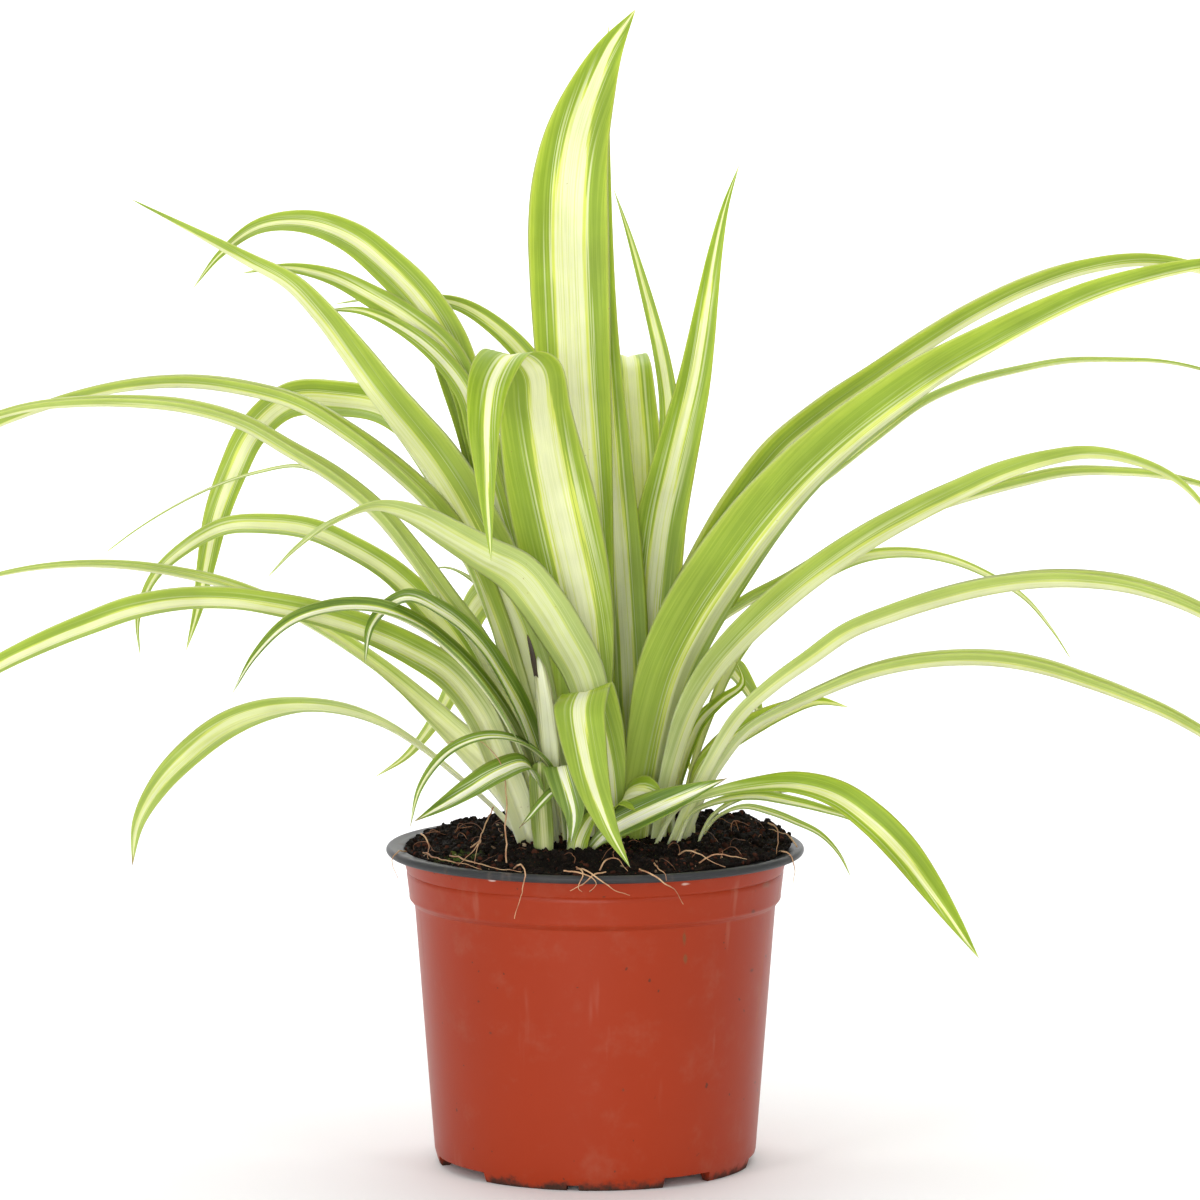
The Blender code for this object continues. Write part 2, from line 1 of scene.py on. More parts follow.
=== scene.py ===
"""The finish of a potted spider plant: striped blades, potting soil, a nursery pot and a plain studio.

It is laid out as a Blender add-on and run as a script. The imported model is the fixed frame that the
pieces are made on. Metres, +Z up, with the front towards -Y.
"""

import itertools
import json
import math
import random

from typing import NamedTuple

import bmesh
import bpy
import numpy as np
from mathutils import Matrix, Vector, noise

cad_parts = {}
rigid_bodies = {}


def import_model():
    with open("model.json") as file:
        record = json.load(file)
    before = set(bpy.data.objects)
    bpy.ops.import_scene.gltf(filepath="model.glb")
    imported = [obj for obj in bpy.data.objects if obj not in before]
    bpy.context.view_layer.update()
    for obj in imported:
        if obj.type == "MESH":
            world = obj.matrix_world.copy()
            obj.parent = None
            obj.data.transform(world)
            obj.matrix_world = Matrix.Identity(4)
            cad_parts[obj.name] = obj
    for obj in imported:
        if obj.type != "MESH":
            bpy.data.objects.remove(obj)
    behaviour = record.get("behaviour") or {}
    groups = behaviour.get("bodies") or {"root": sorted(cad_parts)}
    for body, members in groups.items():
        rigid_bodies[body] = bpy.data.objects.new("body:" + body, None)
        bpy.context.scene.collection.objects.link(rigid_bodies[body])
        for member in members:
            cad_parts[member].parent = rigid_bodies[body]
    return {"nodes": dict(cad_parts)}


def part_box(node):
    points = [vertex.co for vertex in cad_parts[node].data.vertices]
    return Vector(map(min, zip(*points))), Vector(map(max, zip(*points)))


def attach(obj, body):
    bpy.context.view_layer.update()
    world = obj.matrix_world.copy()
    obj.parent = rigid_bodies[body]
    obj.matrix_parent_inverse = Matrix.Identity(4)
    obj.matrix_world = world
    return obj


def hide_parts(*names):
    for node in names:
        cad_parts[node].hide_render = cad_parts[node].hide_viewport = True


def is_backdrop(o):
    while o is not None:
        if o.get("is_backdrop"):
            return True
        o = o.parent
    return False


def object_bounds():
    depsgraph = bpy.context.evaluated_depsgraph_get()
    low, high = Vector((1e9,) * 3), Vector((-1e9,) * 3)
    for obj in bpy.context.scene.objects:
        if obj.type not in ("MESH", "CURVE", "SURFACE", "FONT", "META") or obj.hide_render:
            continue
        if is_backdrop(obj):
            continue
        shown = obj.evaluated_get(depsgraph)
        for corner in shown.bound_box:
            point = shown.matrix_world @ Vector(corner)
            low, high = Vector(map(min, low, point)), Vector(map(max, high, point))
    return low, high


bl_info = {
    "name": "Potted spider plant",
    "version": (1, 0, 0),
    "blender": (4, 5, 0),
    "location": "3D View > Sidebar > Spider plant",
    "description": "Dresses the packed spider plant: leaves, soil, roots, pot and studio",
    "category": "Add Mesh",
}

for leftover in list(bpy.data.objects):
    bpy.data.objects.remove(leftover)
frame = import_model()
cad_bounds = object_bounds()

MM = 0.001
POT_LOW, POT_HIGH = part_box("pot")
SOIL_LOW, SOIL_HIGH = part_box("soil")
RIM_RADIUS = (POT_HIGH.x - POT_LOW.x) / 2
POT_HEIGHT = POT_HIGH.z
SOIL_REACH = (SOIL_HIGH.x - SOIL_LOW.x) / 2
SPILL_REACH = 2.0 * MM
TOUCHING = 1e-6
SIDE_POINTS = 6
SIDE_ORDERS = np.array(list(itertools.permutations(range(SIDE_POINTS))))


# Settings


def colour(name, description, default):
    options = {"subtype": "COLOR", "size": 3, "min": 0, "max": 1}
    return bpy.props.FloatVectorProperty(name=name, description=description, default=default, **options)


def number(name, description, default, **options):
    return bpy.props.FloatProperty(name=name, description=description, default=default, min=0, **options)


def length(name, description, default):
    return number(name, description, default, subtype="DISTANCE", unit="LENGTH", precision=5)


def share(name, description, default):
    return number(name, description, default, subtype="FACTOR", max=1)


class BladeSettings(bpy.types.PropertyGroup):
    """Sizes and colours of the leaves."""

    thickness: length("Thickness", "Thickness of a blade along its midrib", 0.42 * MM)
    row_spacing: length("Row spacing", "Length of a row of faces", 1.6 * MM)
    column_width: length("Column width", "Width of a column of faces", 0.8 * MM)
    midrib_depth: length("Midrib depth", "Depth of the groove along the midrib", 0.35 * MM)
    pleat_depth: length("Pleat depth", "Height of the broad pleats between the veins", 0.06 * MM)
    margin_wave: length("Margin wave", "How far the margins wave up and down", 0.8 * MM)
    stripe: share("Stripe", "Share of the blade's width that the pale stripe takes", 0.36)
    margin: colour("Margin", "Bright green at the margins and beside the stripe", (0.32, 0.43, 0.036))
    deep: colour("Deep green", "Darkest green of the blade", (0.215, 0.325, 0.014))
    cream: colour("Stripe", "Middle of the pale stripe", (0.79, 0.81, 0.52))
    line: colour("Edge lines", "Thin yellow lines at the stripe's edges", (0.64, 0.7, 0.12))
    young_margin: colour("Young margin", "Margins of the short young blades", (0.23, 0.34, 0.04))
    young_deep: colour("Young green", "Darkest green of the short young blades", (0.09, 0.17, 0.012))
    young_stripe: colour("Young stripe", "Stripe of the short young blades", (0.9, 0.9, 0.7))
    # This foot colour is painted shade, tinted the yellow-green of light that comes through leaves in the
    # crowded crown.
    glow_painted_foot: colour("Lush foot", "Foot of the strong blades in the middle", (0.44, 0.55, 0.09))
    foot: colour("Foot", "Pale green of the foot where it leaves the soil", (0.88, 0.9, 0.6))


class PotSettings(bpy.types.PropertyGroup):
    """Finish of the nursery pot."""

    clay: colour("Terracotta", "Outside of the pot", (0.31, 0.031, 0.007))
    charcoal: colour("Charcoal", "Inside of the pot and its rolled lip", (0.035, 0.036, 0.038))
    wobble: length("Wobble", "Unevenness of the thin moulded wall", 0.12 * MM)


class SoilSettings(bpy.types.PropertyGroup):
    """The soil, its crumbs and the roots on it."""

    relief: length("Relief", "Height of the lumps in the soil's surface", 3.0 * MM)
    crumb_density: number("Crumb density", "Crumbs on each square metre of soil", 520000)
    crumb_size: length("Crumb size", "Radius of the largest crumbs", 1.35 * MM)
    root_density: number("Root density", "Fine roots on each square metre of soil", 8000)
    root_radius: length("Root radius", "Radius of a fine root", 0.13 * MM)
    earth: colour("Soil", "Dark moist soil", (0.004, 0.0026, 0.0018))
    root: colour("Fine roots", "Fine roots among the soil", (0.3, 0.13, 0.06))
    dry_root: colour("Dry roots", "Dry roots that hang over the lip", (0.62, 0.4, 0.22))


class StageSettings(bpy.types.PropertyGroup):
    """Floor, lights and camera."""

    floor: colour("Floor", "Colour of the floor and the backdrop", (0.9, 0.9, 0.9))
    daylight: number("Daylight", "Strength of the even light", 0.5)
    key: number("Key light", "Power of the key light in watts", 8.0)


# Node helpers


class Field:
    """What a node puts out. Arithmetic on it adds Math nodes."""

    def __init__(self, wiring, socket):
        self.wiring = wiring
        self.socket = socket

    def __add__(self, other):
        return self.wiring.math("ADD", self, other)

    def __sub__(self, other):
        return self.wiring.math("SUBTRACT", self, other)

    def __rsub__(self, other):
        return self.wiring.math("SUBTRACT", other, self)

    def __mul__(self, other):
        return self.wiring.math("MULTIPLY", self, other)

    def __truediv__(self, other):
        return self.wiring.math("DIVIDE", self, other)

    def __pow__(self, other):
        return self.wiring.math("POWER", self, other)

    def __abs__(self):
        return self.wiring.math("ABSOLUTE", self)


class Wiring:
    """Adds nodes to a tree and feeds their sockets."""

    def __init__(self, tree):
        self.tree = tree

    def feed(self, socket, value):
        if isinstance(value, Field):
            self.tree.links.new(value.socket, socket)
        elif socket.type == "RGBA":
            socket.default_value = (*value, 1.0)
        else:
            socket.default_value = value

    def fill(self, node, feeds):
        """Feeds values or fields to the node's inputs, in order or by name."""
        for key, value in feeds.items() if isinstance(feeds, dict) else enumerate(feeds):
            self.feed(node.inputs[key], value)

    def node(self, kind, feeds=(), **settings):
        made = self.tree.nodes.new(kind)
        for name, value in settings.items():
            setattr(made, name, value)
        self.fill(made, feeds)
        return made

    def field(self, kind, feeds=(), output=0, **settings):
        """The output of a new node."""
        return Field(self, self.node(kind, feeds, **settings).outputs[output])

    def fields(self, kind, feeds=(), **settings):
        """Every output of a new node, by name."""
        return {socket.name: Field(self, socket) for socket in self.node(kind, feeds, **settings).outputs}

    def math(self, operation, *values, **settings):
        return self.field("ShaderNodeMath", values, operation=operation, **settings)

    def vector(self, operation, *values, output="Vector"):
        return self.field("ShaderNodeVectorMath", values, output, operation=operation)

    def scaled(self, vector, by):
        return self.field("ShaderNodeVectorMath", {0: vector, "Scale": by}, operation="SCALE")

    def point(self, *parts):
        return self.field("ShaderNodeCombineXYZ", parts)

    def step(self, value, low, high, start=0.0, end=1.0):
        """Runs smoothly from start to end while the value goes from low to high."""
        feeds = (value, low, high, start, end)
        return self.field("ShaderNodeMapRange", feeds, interpolation_type="SMOOTHSTEP")

    def fall(self, value, low, high):
        """Runs smoothly from one to nothing while the value goes from low to high."""
        return self.step(value, low, high, 1.0, 0.0)

    def mix(self, amount, low, high, blend="MIX"):
        feeds = {0: amount, 6: low, 7: high}
        return self.field("ShaderNodeMix", feeds, 2, data_type="RGBA", blend_type=blend)

    def noise(self, vector, scale, detail=2.0, roughness=0.5, output=0):
        feeds = {"Vector": vector, "Scale": scale, "Detail": detail, "Roughness": roughness}
        return self.field("ShaderNodeTexNoise", feeds, output)

    def bump(self, height, strength, distance):
        return self.field("ShaderNodeBump", {"Strength": strength, "Distance": distance, "Height": height})

    def object_place(self):
        return self.field("ShaderNodeTexCoord", output="Object")

    def position(self):
        """The place of a point in a geometry tree."""
        return self.field("GeometryNodeInputPosition")

    def attribute(self, name, kind="FLOAT"):
        """A named attribute in a geometry tree."""
        return self.field("GeometryNodeInputNamedAttribute", [name], data_type=kind)

    def surface_attribute(self, name):
        """A named attribute in a material."""
        return self.field("ShaderNodeAttribute", output="Fac", attribute_name=name)

    def stored(self, geometry, name, value, domain="POINT"):
        """The geometry with the value kept as a named attribute."""
        feeds = {"Geometry": geometry, "Name": name, "Value": value}
        return self.field("GeometryNodeStoreNamedAttribute", feeds, data_type="FLOAT", domain=domain)


def new_group(kind, name, inputs, outputs):
    """A node group with these sockets, each a name and its kind, and what comes in through them."""
    tree = bpy.data.node_groups.new(name, kind)
    for way, sockets in (("INPUT", inputs), ("OUTPUT", outputs)):
        for socket, socket_kind in sockets.items():
            tree.interface.new_socket(name=socket, in_out=way, socket_type="NodeSocket" + socket_kind)
    wiring = Wiring(tree)
    return tree, wiring, wiring.fields("NodeGroupInput")


def geometry_tree(name, inputs):
    geometry = {"Geometry": "Geometry"}
    return new_group("GeometryNodeTree", name, geometry | inputs | {"Material": "Material"}, geometry)


def finish_tree(w, geometry, material):
    """Realizes instances, sets the material and connects the output."""
    real = w.field("GeometryNodeRealizeInstances", [geometry])
    finished = w.field("GeometryNodeSetMaterial", {"Geometry": real, "Material": material})
    w.node("NodeGroupOutput", [finished])


def mesh_of(name, shape):
    """Turns a bmesh, which it uses up, into a mesh."""
    mesh = bpy.data.meshes.new(name)
    shape.to_mesh(mesh)
    shape.free()
    return mesh


def add_object(name, data, *materials):
    made = bpy.data.objects.new(name, data)
    bpy.context.scene.collection.objects.link(made)
    for material in materials:
        data.materials.append(material)
    return made


def with_tree(obj, tree, values):
    """Gives the object a Geometry Nodes modifier with these input values."""
    modifier = obj.modifiers.new(tree.name, "NODES")
    modifier.node_group = tree
    for item in tree.interface.items_tree:
        if item.in_out == "INPUT" and item.name in values:
            modifier[item.identifier] = values[item.name]
    return obj


def made_meshes(objects):
    """What the objects' modifiers make, as new meshes."""
    bpy.context.view_layer.update()
    depsgraph = bpy.context.evaluated_depsgraph_get()
    return [bpy.data.meshes.new_from_object(obj.evaluated_get(depsgraph)) for obj in objects]


def made_plain(*objects):
    """Turns what the modifiers make into each object's own mesh."""
    for obj, mesh in zip(objects, made_meshes(objects)):
        obj.modifiers.clear()
        obj.data = mesh


def seated(obj, slot, *nodes):
    """The piece rides with the plant and stands for these CAD nodes. The slot is not used."""
    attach(obj, "root")
    if nodes:
        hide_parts(*nodes)


# Materials


SURFACE = {"Color": "Color", "Roughness": "Float", "Height": "Float"}
WASHED_GREEN = (0.5, 0.57, 0.25)
UNDERSIDE = (0.68, 0.76, 0.36)
SCAR = (0.25, 0.16, 0.05)
BROWN_TIP = (0.16, 0.075, 0.03)
# What the guides carry along a blade: lengths, which the blades keep in millimetres, and plain numbers.
BLADE_LENGTHS = ("half_width", "from_foot", "to_tip", "pale_reach")
BLADE_NUMBERS = ("seed", "pale_foot", "washed", "stripe_place", "stripe_gain")
BLADE_SIZES = ("Thickness", "Midrib Depth", "Pleat Depth", "Margin Wave")
BLADE_TONES = ("Margin", "Deep", "Cream", "Line", "Foot")


def new_material(name):
    made = bpy.data.materials.new(name)
    made.use_nodes = True
    made.node_tree.nodes.clear()
    w = Wiring(made.node_tree)
    shader = w.node("ShaderNodeBsdfPrincipled")
    w.node("ShaderNodeOutputMaterial", [Field(w, shader.outputs[0])])
    return made, w, shader


def blade_group():
    """Colour, roughness and relief of a striped blade from its own attributes."""
    inputs = {"Stripe": "Float", **dict.fromkeys(BLADE_TONES, "Color"), "Brown Tip": "Float"}
    tree, w, given = new_group("ShaderNodeTree", "striped_blade", inputs, SURFACE)
    names = ("across", "upper_face", *BLADE_NUMBERS, *(name + "_mm" for name in BLADE_LENGTHS))
    at = {name: w.surface_attribute(name) for name in names}
    across, foot, tip = at["across"], at["from_foot_mm"], at["to_tip_mm"]
    seed, upper = at["seed"], at["upper_face"]
    width = across * at["half_width_mm"]

    def lengthwise(aside, speed, spread):
        """A place for noise that changes fast across a blade and slowly along it, in its own way on each."""
        return w.point(aside, foot * speed, seed * spread)

    streaks = w.noise(lengthwise(width, 0.012, 37.0), 1.5, 3.0, 0.6)
    fine = w.noise(lengthwise(width, 0.012, 37.0), 5.5, 2.0, 0.6)
    drift = w.noise(lengthwise(across, 0.02, 11.0), 1.6)
    middle = abs(across - at["stripe_place"] + (drift - 0.5) * 0.16) + (streaks - 0.5) * 0.4
    wide = given["Stripe"] * at["stripe_gain"] * w.step(tip, 0.0, 60.0, 0.55, 1.0) * (seed * 0.16 + 0.92)
    stripe = w.fall(middle, wide * 0.95, wide * 1.03)
    core = w.fall(middle, wide * 0.74, wide * 0.86)
    inside = w.fall(abs(across), 0.9, 1.0)
    deep = w.step(middle, wide, wide + 0.2) * inside * w.step(streaks, 0.4, 0.56, 0.4, 1.0)
    green = w.mix(deep, given["Margin"], given["Deep"])
    tone = w.mix(stripe, green, w.mix(core, given["Line"], given["Cream"]))
    # Hairlines follow the levels of a slower noise: pale ones in the green, green ones in the pale stripe.
    level = abs(w.noise(lengthwise(width, 0.006, 71.0), 0.8, 1.0) - 0.5)
    hair = w.fall(level, 0.012, 0.045)
    tone = w.mix(hair * w.fall(middle, wide, wide + 0.4) * 0.7, tone, given["Cream"])
    tone = w.mix(hair * stripe * 0.5, tone, given["Line"])
    tone = w.mix(w.step(fine, 0.4, 0.6, 0.0, 0.16), tone, given["Margin"])
    tone = w.mix(at["washed"], tone, WASHED_GREEN)
    tone = w.mix(upper, w.mix(0.06, tone, UNDERSIDE), tone)
    reach = at["pale_reach_mm"]
    faded = w.fall(foot + (streaks - 0.5) * reach, 2.0, reach) * at["pale_foot"]
    tone = w.mix(faded, tone, given["Foot"])
    place = w.object_place()
    blotches = w.noise(place, 55.0)
    tone = w.mix(1.0, tone, w.mix(w.step(blotches, 0.25, 0.75), (0.88,) * 3, (1.06,) * 3), "MULTIPLY")
    worn = w.step(w.noise(place, 900.0, 1.0), 0.74, 0.8) * w.step(blotches, 0.55, 0.65)
    tone = w.mix(worn * 0.5, tone, SCAR)
    tone = w.mix(w.fall(tip + streaks * 4.0, 2.2, 6.0) * given["Brown Tip"], tone, BROWN_TIP)
    rough = fine * 0.14 + 0.38 + (1.0 - upper) * 0.14
    w.node("NodeGroupOutput", [tone, rough, streaks * 0.6 + fine * 0.4])
    return tree


def blade_material(name, group, feeds):
    made, w, shader = new_material(name)
    look = w.fields("ShaderNodeGroup", feeds, node_tree=group)
    feeds = {
        "Base Color": look["Color"],
        "Roughness": look["Roughness"],
        "Normal": w.bump(look["Height"], 0.55, 0.12 * MM),
        "Specular IOR Level": 0.3,
        "Subsurface Weight": 0.45,
        "Subsurface Radius": (1.0, 1.0, 0.4),
        "Subsurface Scale": 1.2 * MM,
    }
    w.fill(shader, feeds)
    return made


def earth_group():
    """Mottled dark colour of soil and of the crumbs on it."""
    inputs = {"Dark": "Color", "Light": "Color", "Scale": "Float"}
    outputs = {"Color": "Color", "Height": "Float"}
    tree, w, given = new_group("ShaderNodeTree", "earth_tone", inputs, outputs)
    place = w.object_place()
    grain = w.noise(place, given["Scale"], 4.0, 0.65)
    mottle = w.noise(place, given["Scale"] * 0.16)
    light = w.step(grain, 0.45, 0.75) * w.step(mottle, 0.3, 0.7, 0.3, 1.0)
    w.node("NodeGroupOutput", [w.mix(light, given["Dark"], given["Light"]), grain])
    return tree


MOSS = (0.075, 0.12, 0.02)
MOSS_PLACE = (-40 * MM, -28 * MM, 94 * MM)
PEAT_LIGHT = (0.035, 0.018, 0.012)
CRUMB_LIGHT = (0.03, 0.013, 0.008)
BARK = (0.07, 0.022, 0.012)
PALE_BIT = (0.4, 0.3, 0.2)
FINE_ROOT_DARK = (0.08, 0.03, 0.015)
DRY_ROOT_DARK = (0.36, 0.16, 0.08)
SKIN_DARK = (0.05, 0.035, 0.02)
SKIN_LIGHT = (0.4, 0.34, 0.2)


def mossy(w, tone):
    """The tone turned green in flecks over a small patch."""
    place = w.object_place()
    away = w.vector("LENGTH", w.vector("SUBTRACT", place, MOSS_PLACE), output="Value")
    flecks = w.step(w.noise(place, 700.0, 1.0), 0.48, 0.56)
    return w.mix(w.step(away, 4 * MM, 9 * MM, 0.8, 0.0) * flecks, tone, MOSS)


def earth_material(dark, group):
    made, w, shader = new_material("potting_soil")
    feeds = {"Dark": dark, "Light": PEAT_LIGHT, "Scale": 420.0}
    tone = w.fields("ShaderNodeGroup", feeds, node_tree=group)
    feeds = {
        "Base Color": mossy(w, tone["Color"]),
        "Normal": w.bump(tone["Height"], 0.9, 0.5 * MM),
        "Roughness": w.step(tone["Height"], 0.3, 0.7, 0.85, 1.0),
        "Specular IOR Level": 0.12,
    }
    w.fill(shader, feeds)
    return made


def crumb_material(dark, group):
    """Crumbs vary from black peat to brown bark and a few pale bits by their own tint."""
    made, w, shader = new_material("soil_crumbs")
    feeds = {"Dark": dark, "Light": CRUMB_LIGHT, "Scale": 900.0}
    tone = w.fields("ShaderNodeGroup", feeds, node_tree=group)
    tint = w.surface_attribute("tint")
    brown = w.mix(w.step(tint, 0.74, 1.0), tone["Color"], BARK)
    pale = w.mix(w.step(tint, 0.992, 0.996), mossy(w, brown), PALE_BIT)
    rough = w.step(tint, 0.0, 1.0, 0.75, 1.0)
    w.fill(shader, {"Base Color": pale, "Roughness": rough, "Specular IOR Level": 0.15})
    return made


def mottled_material(name, dark, light, scale=240.0, detail=2.0, edges=(0.3, 0.7), rough=(0.5, 0.8)):
    """Two tones that a noise mixes, for roots and the skin of the rootstocks."""
    made, w, shader = new_material(name)
    shade = w.noise(w.object_place(), scale, detail)
    w.fill(shader, {"Base Color": w.mix(w.step(shade, *edges), dark, light)})
    w.fill(shader, {"Roughness": w.step(shade, 0.2, 0.8, *rough)})
    return made


SCUFF = (0.62, 0.42, 0.32)
SPECK = (0.05, 0.025, 0.015)
DUST = (0.4, 0.26, 0.18)
FOOT_DIRT = (0.035, 0.02, 0.014)
# Dried drips and soil specks on the pot, and two pale painted glints just under the lip: place (x, z), width
# and height in millimetres, and colour.
STAINS_AND_GLINTS = (
    (25.5, 73.5, 0.7, 3.2, (0.13, 0.07, 0.025)),
    (25.8, 67.5, 0.9, 2.4, (0.15, 0.08, 0.03)),
    # These two pale patches just under the lip are painted glints of the lights.
    (-29.3, 90.4, 1.3, 0.5, (0.8, 0.72, 0.66)),
    (25.9, 89.6, 1.5, 0.5, (0.75, 0.6, 0.5)),
    (45.5, 78.5, 0.9, 0.9, (0.04, 0.02, 0.012)),
    (45.3, 60.5, 0.8, 0.8, (0.05, 0.022, 0.014)),
    (49.5, 85.5, 1.6, 1.3, (0.2, 0.09, 0.05)),
    (-30.0, 45.0, 0.7, 0.6, (0.06, 0.03, 0.02)),
    (8.0, 30.0, 0.6, 0.8, (0.1, 0.04, 0.025)),
)


def plastic_group():
    """Thin moulded plastic: a drifting tone, fine scuffs and soil dust that thickens at the foot."""
    inputs = {"Plastic": "Color", "Gloss": "Float", "Dust": "Float"}
    tree, w, given = new_group("ShaderNodeTree", "moulded_plastic", inputs, SURFACE)
    place = w.object_place()
    uneven = w.mix(w.noise(place, 14.0, 3.0), (0.9, 0.88, 0.86), (1.1, 1.12, 1.14))
    tone = w.mix(1.0, given["Plastic"], uneven, "MULTIPLY")
    stretched = w.field("ShaderNodeMapping", {"Vector": place, "Scale": (1.0, 1.0, 0.12)})
    scuffs = w.step(w.noise(stretched, 130.0, 3.0), 0.62, 0.74)
    tone = w.mix(scuffs * 0.12, tone, SCUFF)
    tone = w.mix(w.step(w.noise(place, 420.0, 1.0), 0.76, 0.79) * 0.7, tone, SPECK)
    tone = w.mix(w.step(w.noise(place, 70.0, 4.0, 0.7), 0.5, 0.8) * given["Dust"], tone, DUST)
    clumps = w.noise(place, 190.0, 4.0, 0.7)
    height = w.fields("ShaderNodeSeparateXYZ", [place])["Z"] + (clumps - 0.5) * (9 * MM)
    dirt = w.fall(height, 0.0, 3.2 * MM) * 0.95
    tone = w.mix(dirt, tone, FOOT_DIRT)
    rough = w.math("ADD", given["Gloss"] + scuffs * 0.15, dirt * 0.4, use_clamp=True)
    w.node("NodeGroupOutput", [tone, rough, w.noise(place, 1400.0) * 0.25 + dirt])
    return tree


def with_stains_and_glints(w, tone):
    """The stains and the two painted glints on the front of the pot over its tone."""
    place = w.object_place()
    parts = w.fields("ShaderNodeSeparateXYZ", [place])
    front = w.fall(parts["Y"], -2 * MM, 2 * MM)
    ragged = w.noise(place, 500.0, 3.0)
    for x, z, wide, tall, tint in STAINS_AND_GLINTS:
        aside = (parts["X"] - x * MM) / (wide * MM)
        above = (parts["Z"] - z * MM) / (tall * MM)
        away = w.math("SQRT", aside**2.0 + above**2.0)
        tone = w.mix(w.step(away + ragged, 0.75, 1.5, 0.6, 0.0) * front, tone, tint)
    return tone


def plastic_material(name, group, tint, gloss, dust, has_stains_and_glints=False):
    made, w, shader = new_material(name)
    look = w.fields("ShaderNodeGroup", {"Plastic": tint, "Gloss": gloss, "Dust": dust}, node_tree=group)
    feeds = {
        "Base Color": with_stains_and_glints(w, look["Color"]) if has_stains_and_glints else look["Color"],
        "Roughness": look["Roughness"],
        "Normal": w.bump(look["Height"], 0.35, 0.15 * MM),
        "Specular IOR Level": 0.18,
    }
    w.fill(shader, feeds)
    return made


# Leaves


def rings_from(apex):
    """The vertices of a lofted solid in rings, by their distance in edges from its pointed end."""
    seen, rings = {apex}, [[apex]]
    while rings[-1]:
        ring = {edge.other_vert(vert) for vert in rings[-1] for edge in vert.link_edges} - seen
        seen |= ring
        rings.append(sorted(ring, key=lambda vert: vert.index))
    return rings[1:-1]


def in_order_of(ring, like):
    """The ring's points in the order of the like section's."""
    moved = (ring - ring.mean(0))[SIDE_ORDERS]
    return ring[SIDE_ORDERS[((moved - (like - like.mean(0))) ** 2).sum((1, 2)).argmin()]]


# How much more the two short sides of a section, at its margins, weigh than the others.
MARGIN_WEIGHT = 4


def first_order(ring, way):
    """A ring's points from the left margin's upper side round to its lower side. Way leads to the tip."""
    best = None
    for order in SIDE_ORDERS:
        points = ring[order]
        sides = np.roll(points, -1, 0) - points
        lengths = np.linalg.norm(sides, axis=1)
        turning = np.cross(points, np.roll(points, -1, 0)).sum(0) @ way
        margins = (points[0] + points[2] + points[3] + points[5]) / 4
        keel = (points[1] + points[4]) / 2
        rise = (margins - keel) @ (points[1] - points[4])
        if turning < 0 and rise > 0:
            cost = lengths.sum() + MARGIN_WEIGHT * (lengths[2] + lengths[5])
            if best is None or cost < best[0]:
                best = (cost, points)
    return best[1]


def sections(node):
    """The CAD blade's sections from foot to tip: keel, side and upward directions, half width and rise."""
    shape = bmesh.new()
    shape.from_mesh(frame["nodes"][node].data)
    bmesh.ops.remove_doubles(shape, verts=shape.verts, dist=TOUCHING)
    shape.verts.index_update()
    for apex in shape.verts:
        rings = rings_from(apex) if len(apex.link_edges) == SIDE_POINTS else []
        if rings and all(len(ring) == SIDE_POINTS for ring in rings):
            break
    rings = [np.array([vert.co for vert in ring]) for ring in reversed(rings)]
    tip = np.array(apex.co)
    shape.free()
    middle = len(rings) // 3
    way = rings[middle + 1].mean(0) - rings[middle].mean(0)
    ordered = {middle: first_order(rings[middle], way)}
    for i in range(middle + 1, len(rings)):
        ordered[i] = in_order_of(rings[i], ordered[i - 1])
    for i in range(middle - 1, -1, -1):
        ordered[i] = in_order_of(rings[i], ordered[i + 1])
    rings = np.array([ordered[i] for i in range(len(rings))])
    keel = (rings[:, 1] + rings[:, 4]) / 2
    left = (rings[:, 0] + rings[:, 5]) / 2
    right = (rings[:, 2] + rings[:, 3]) / 2
    side = right - left
    half = np.linalg.norm(side, axis=1) / 2
    side /= 2 * half[:, None]
    upper = rings[:, 1] - rings[:, 4]
    upper -= side * (upper * side).sum(1)[:, None]
    upper /= np.linalg.norm(upper, axis=1)[:, None]
    rise = (((left + right) / 2 - keel) * upper).sum(1)
    return keel, side, upper, half, rise, tip


def hermite(stops, values, at):
    """A smooth curve through the values at the stops, with slopes from their neighbours."""
    values = values.reshape(len(values), -1)
    slopes = np.gradient(values, stops, axis=0)
    cell = np.clip(np.searchsorted(stops, at, side="right") - 1, 0, len(stops) - 2)
    span = (stops[cell + 1] - stops[cell])[:, None]
    t = ((at - stops[cell])[:, None]) / span
    low, high = values[cell], values[cell + 1]
    out, into = slopes[cell] * span, slopes[cell + 1] * span
    return (
        low * (2 * t**3 - 3 * t**2 + 1)
        + high * (3 * t**2 - 2 * t**3)
        + out * (t**3 - 2 * t**2 + t)
        + into * (t**3 - t**2)
    )


def unit(rows):
    return rows / np.linalg.norm(rows, axis=1)[:, None]


BURIED = 2.5 * MM
LONGEST_FADE = 80 * MM
FEWEST_ROWS = 24
# The stripe's gain changes to its end value between these shares of the length.
STRIPE_CHANGE = (0.45, 0.75)
# The groove's share of the width, and how fast the pleats run across a blade and the waves along it.
GROOVE_WIDTH = 0.16
PLEAT_RATE = 26.0
WAVE_RATE = 28.0
BLUNT_END = 5 * MM


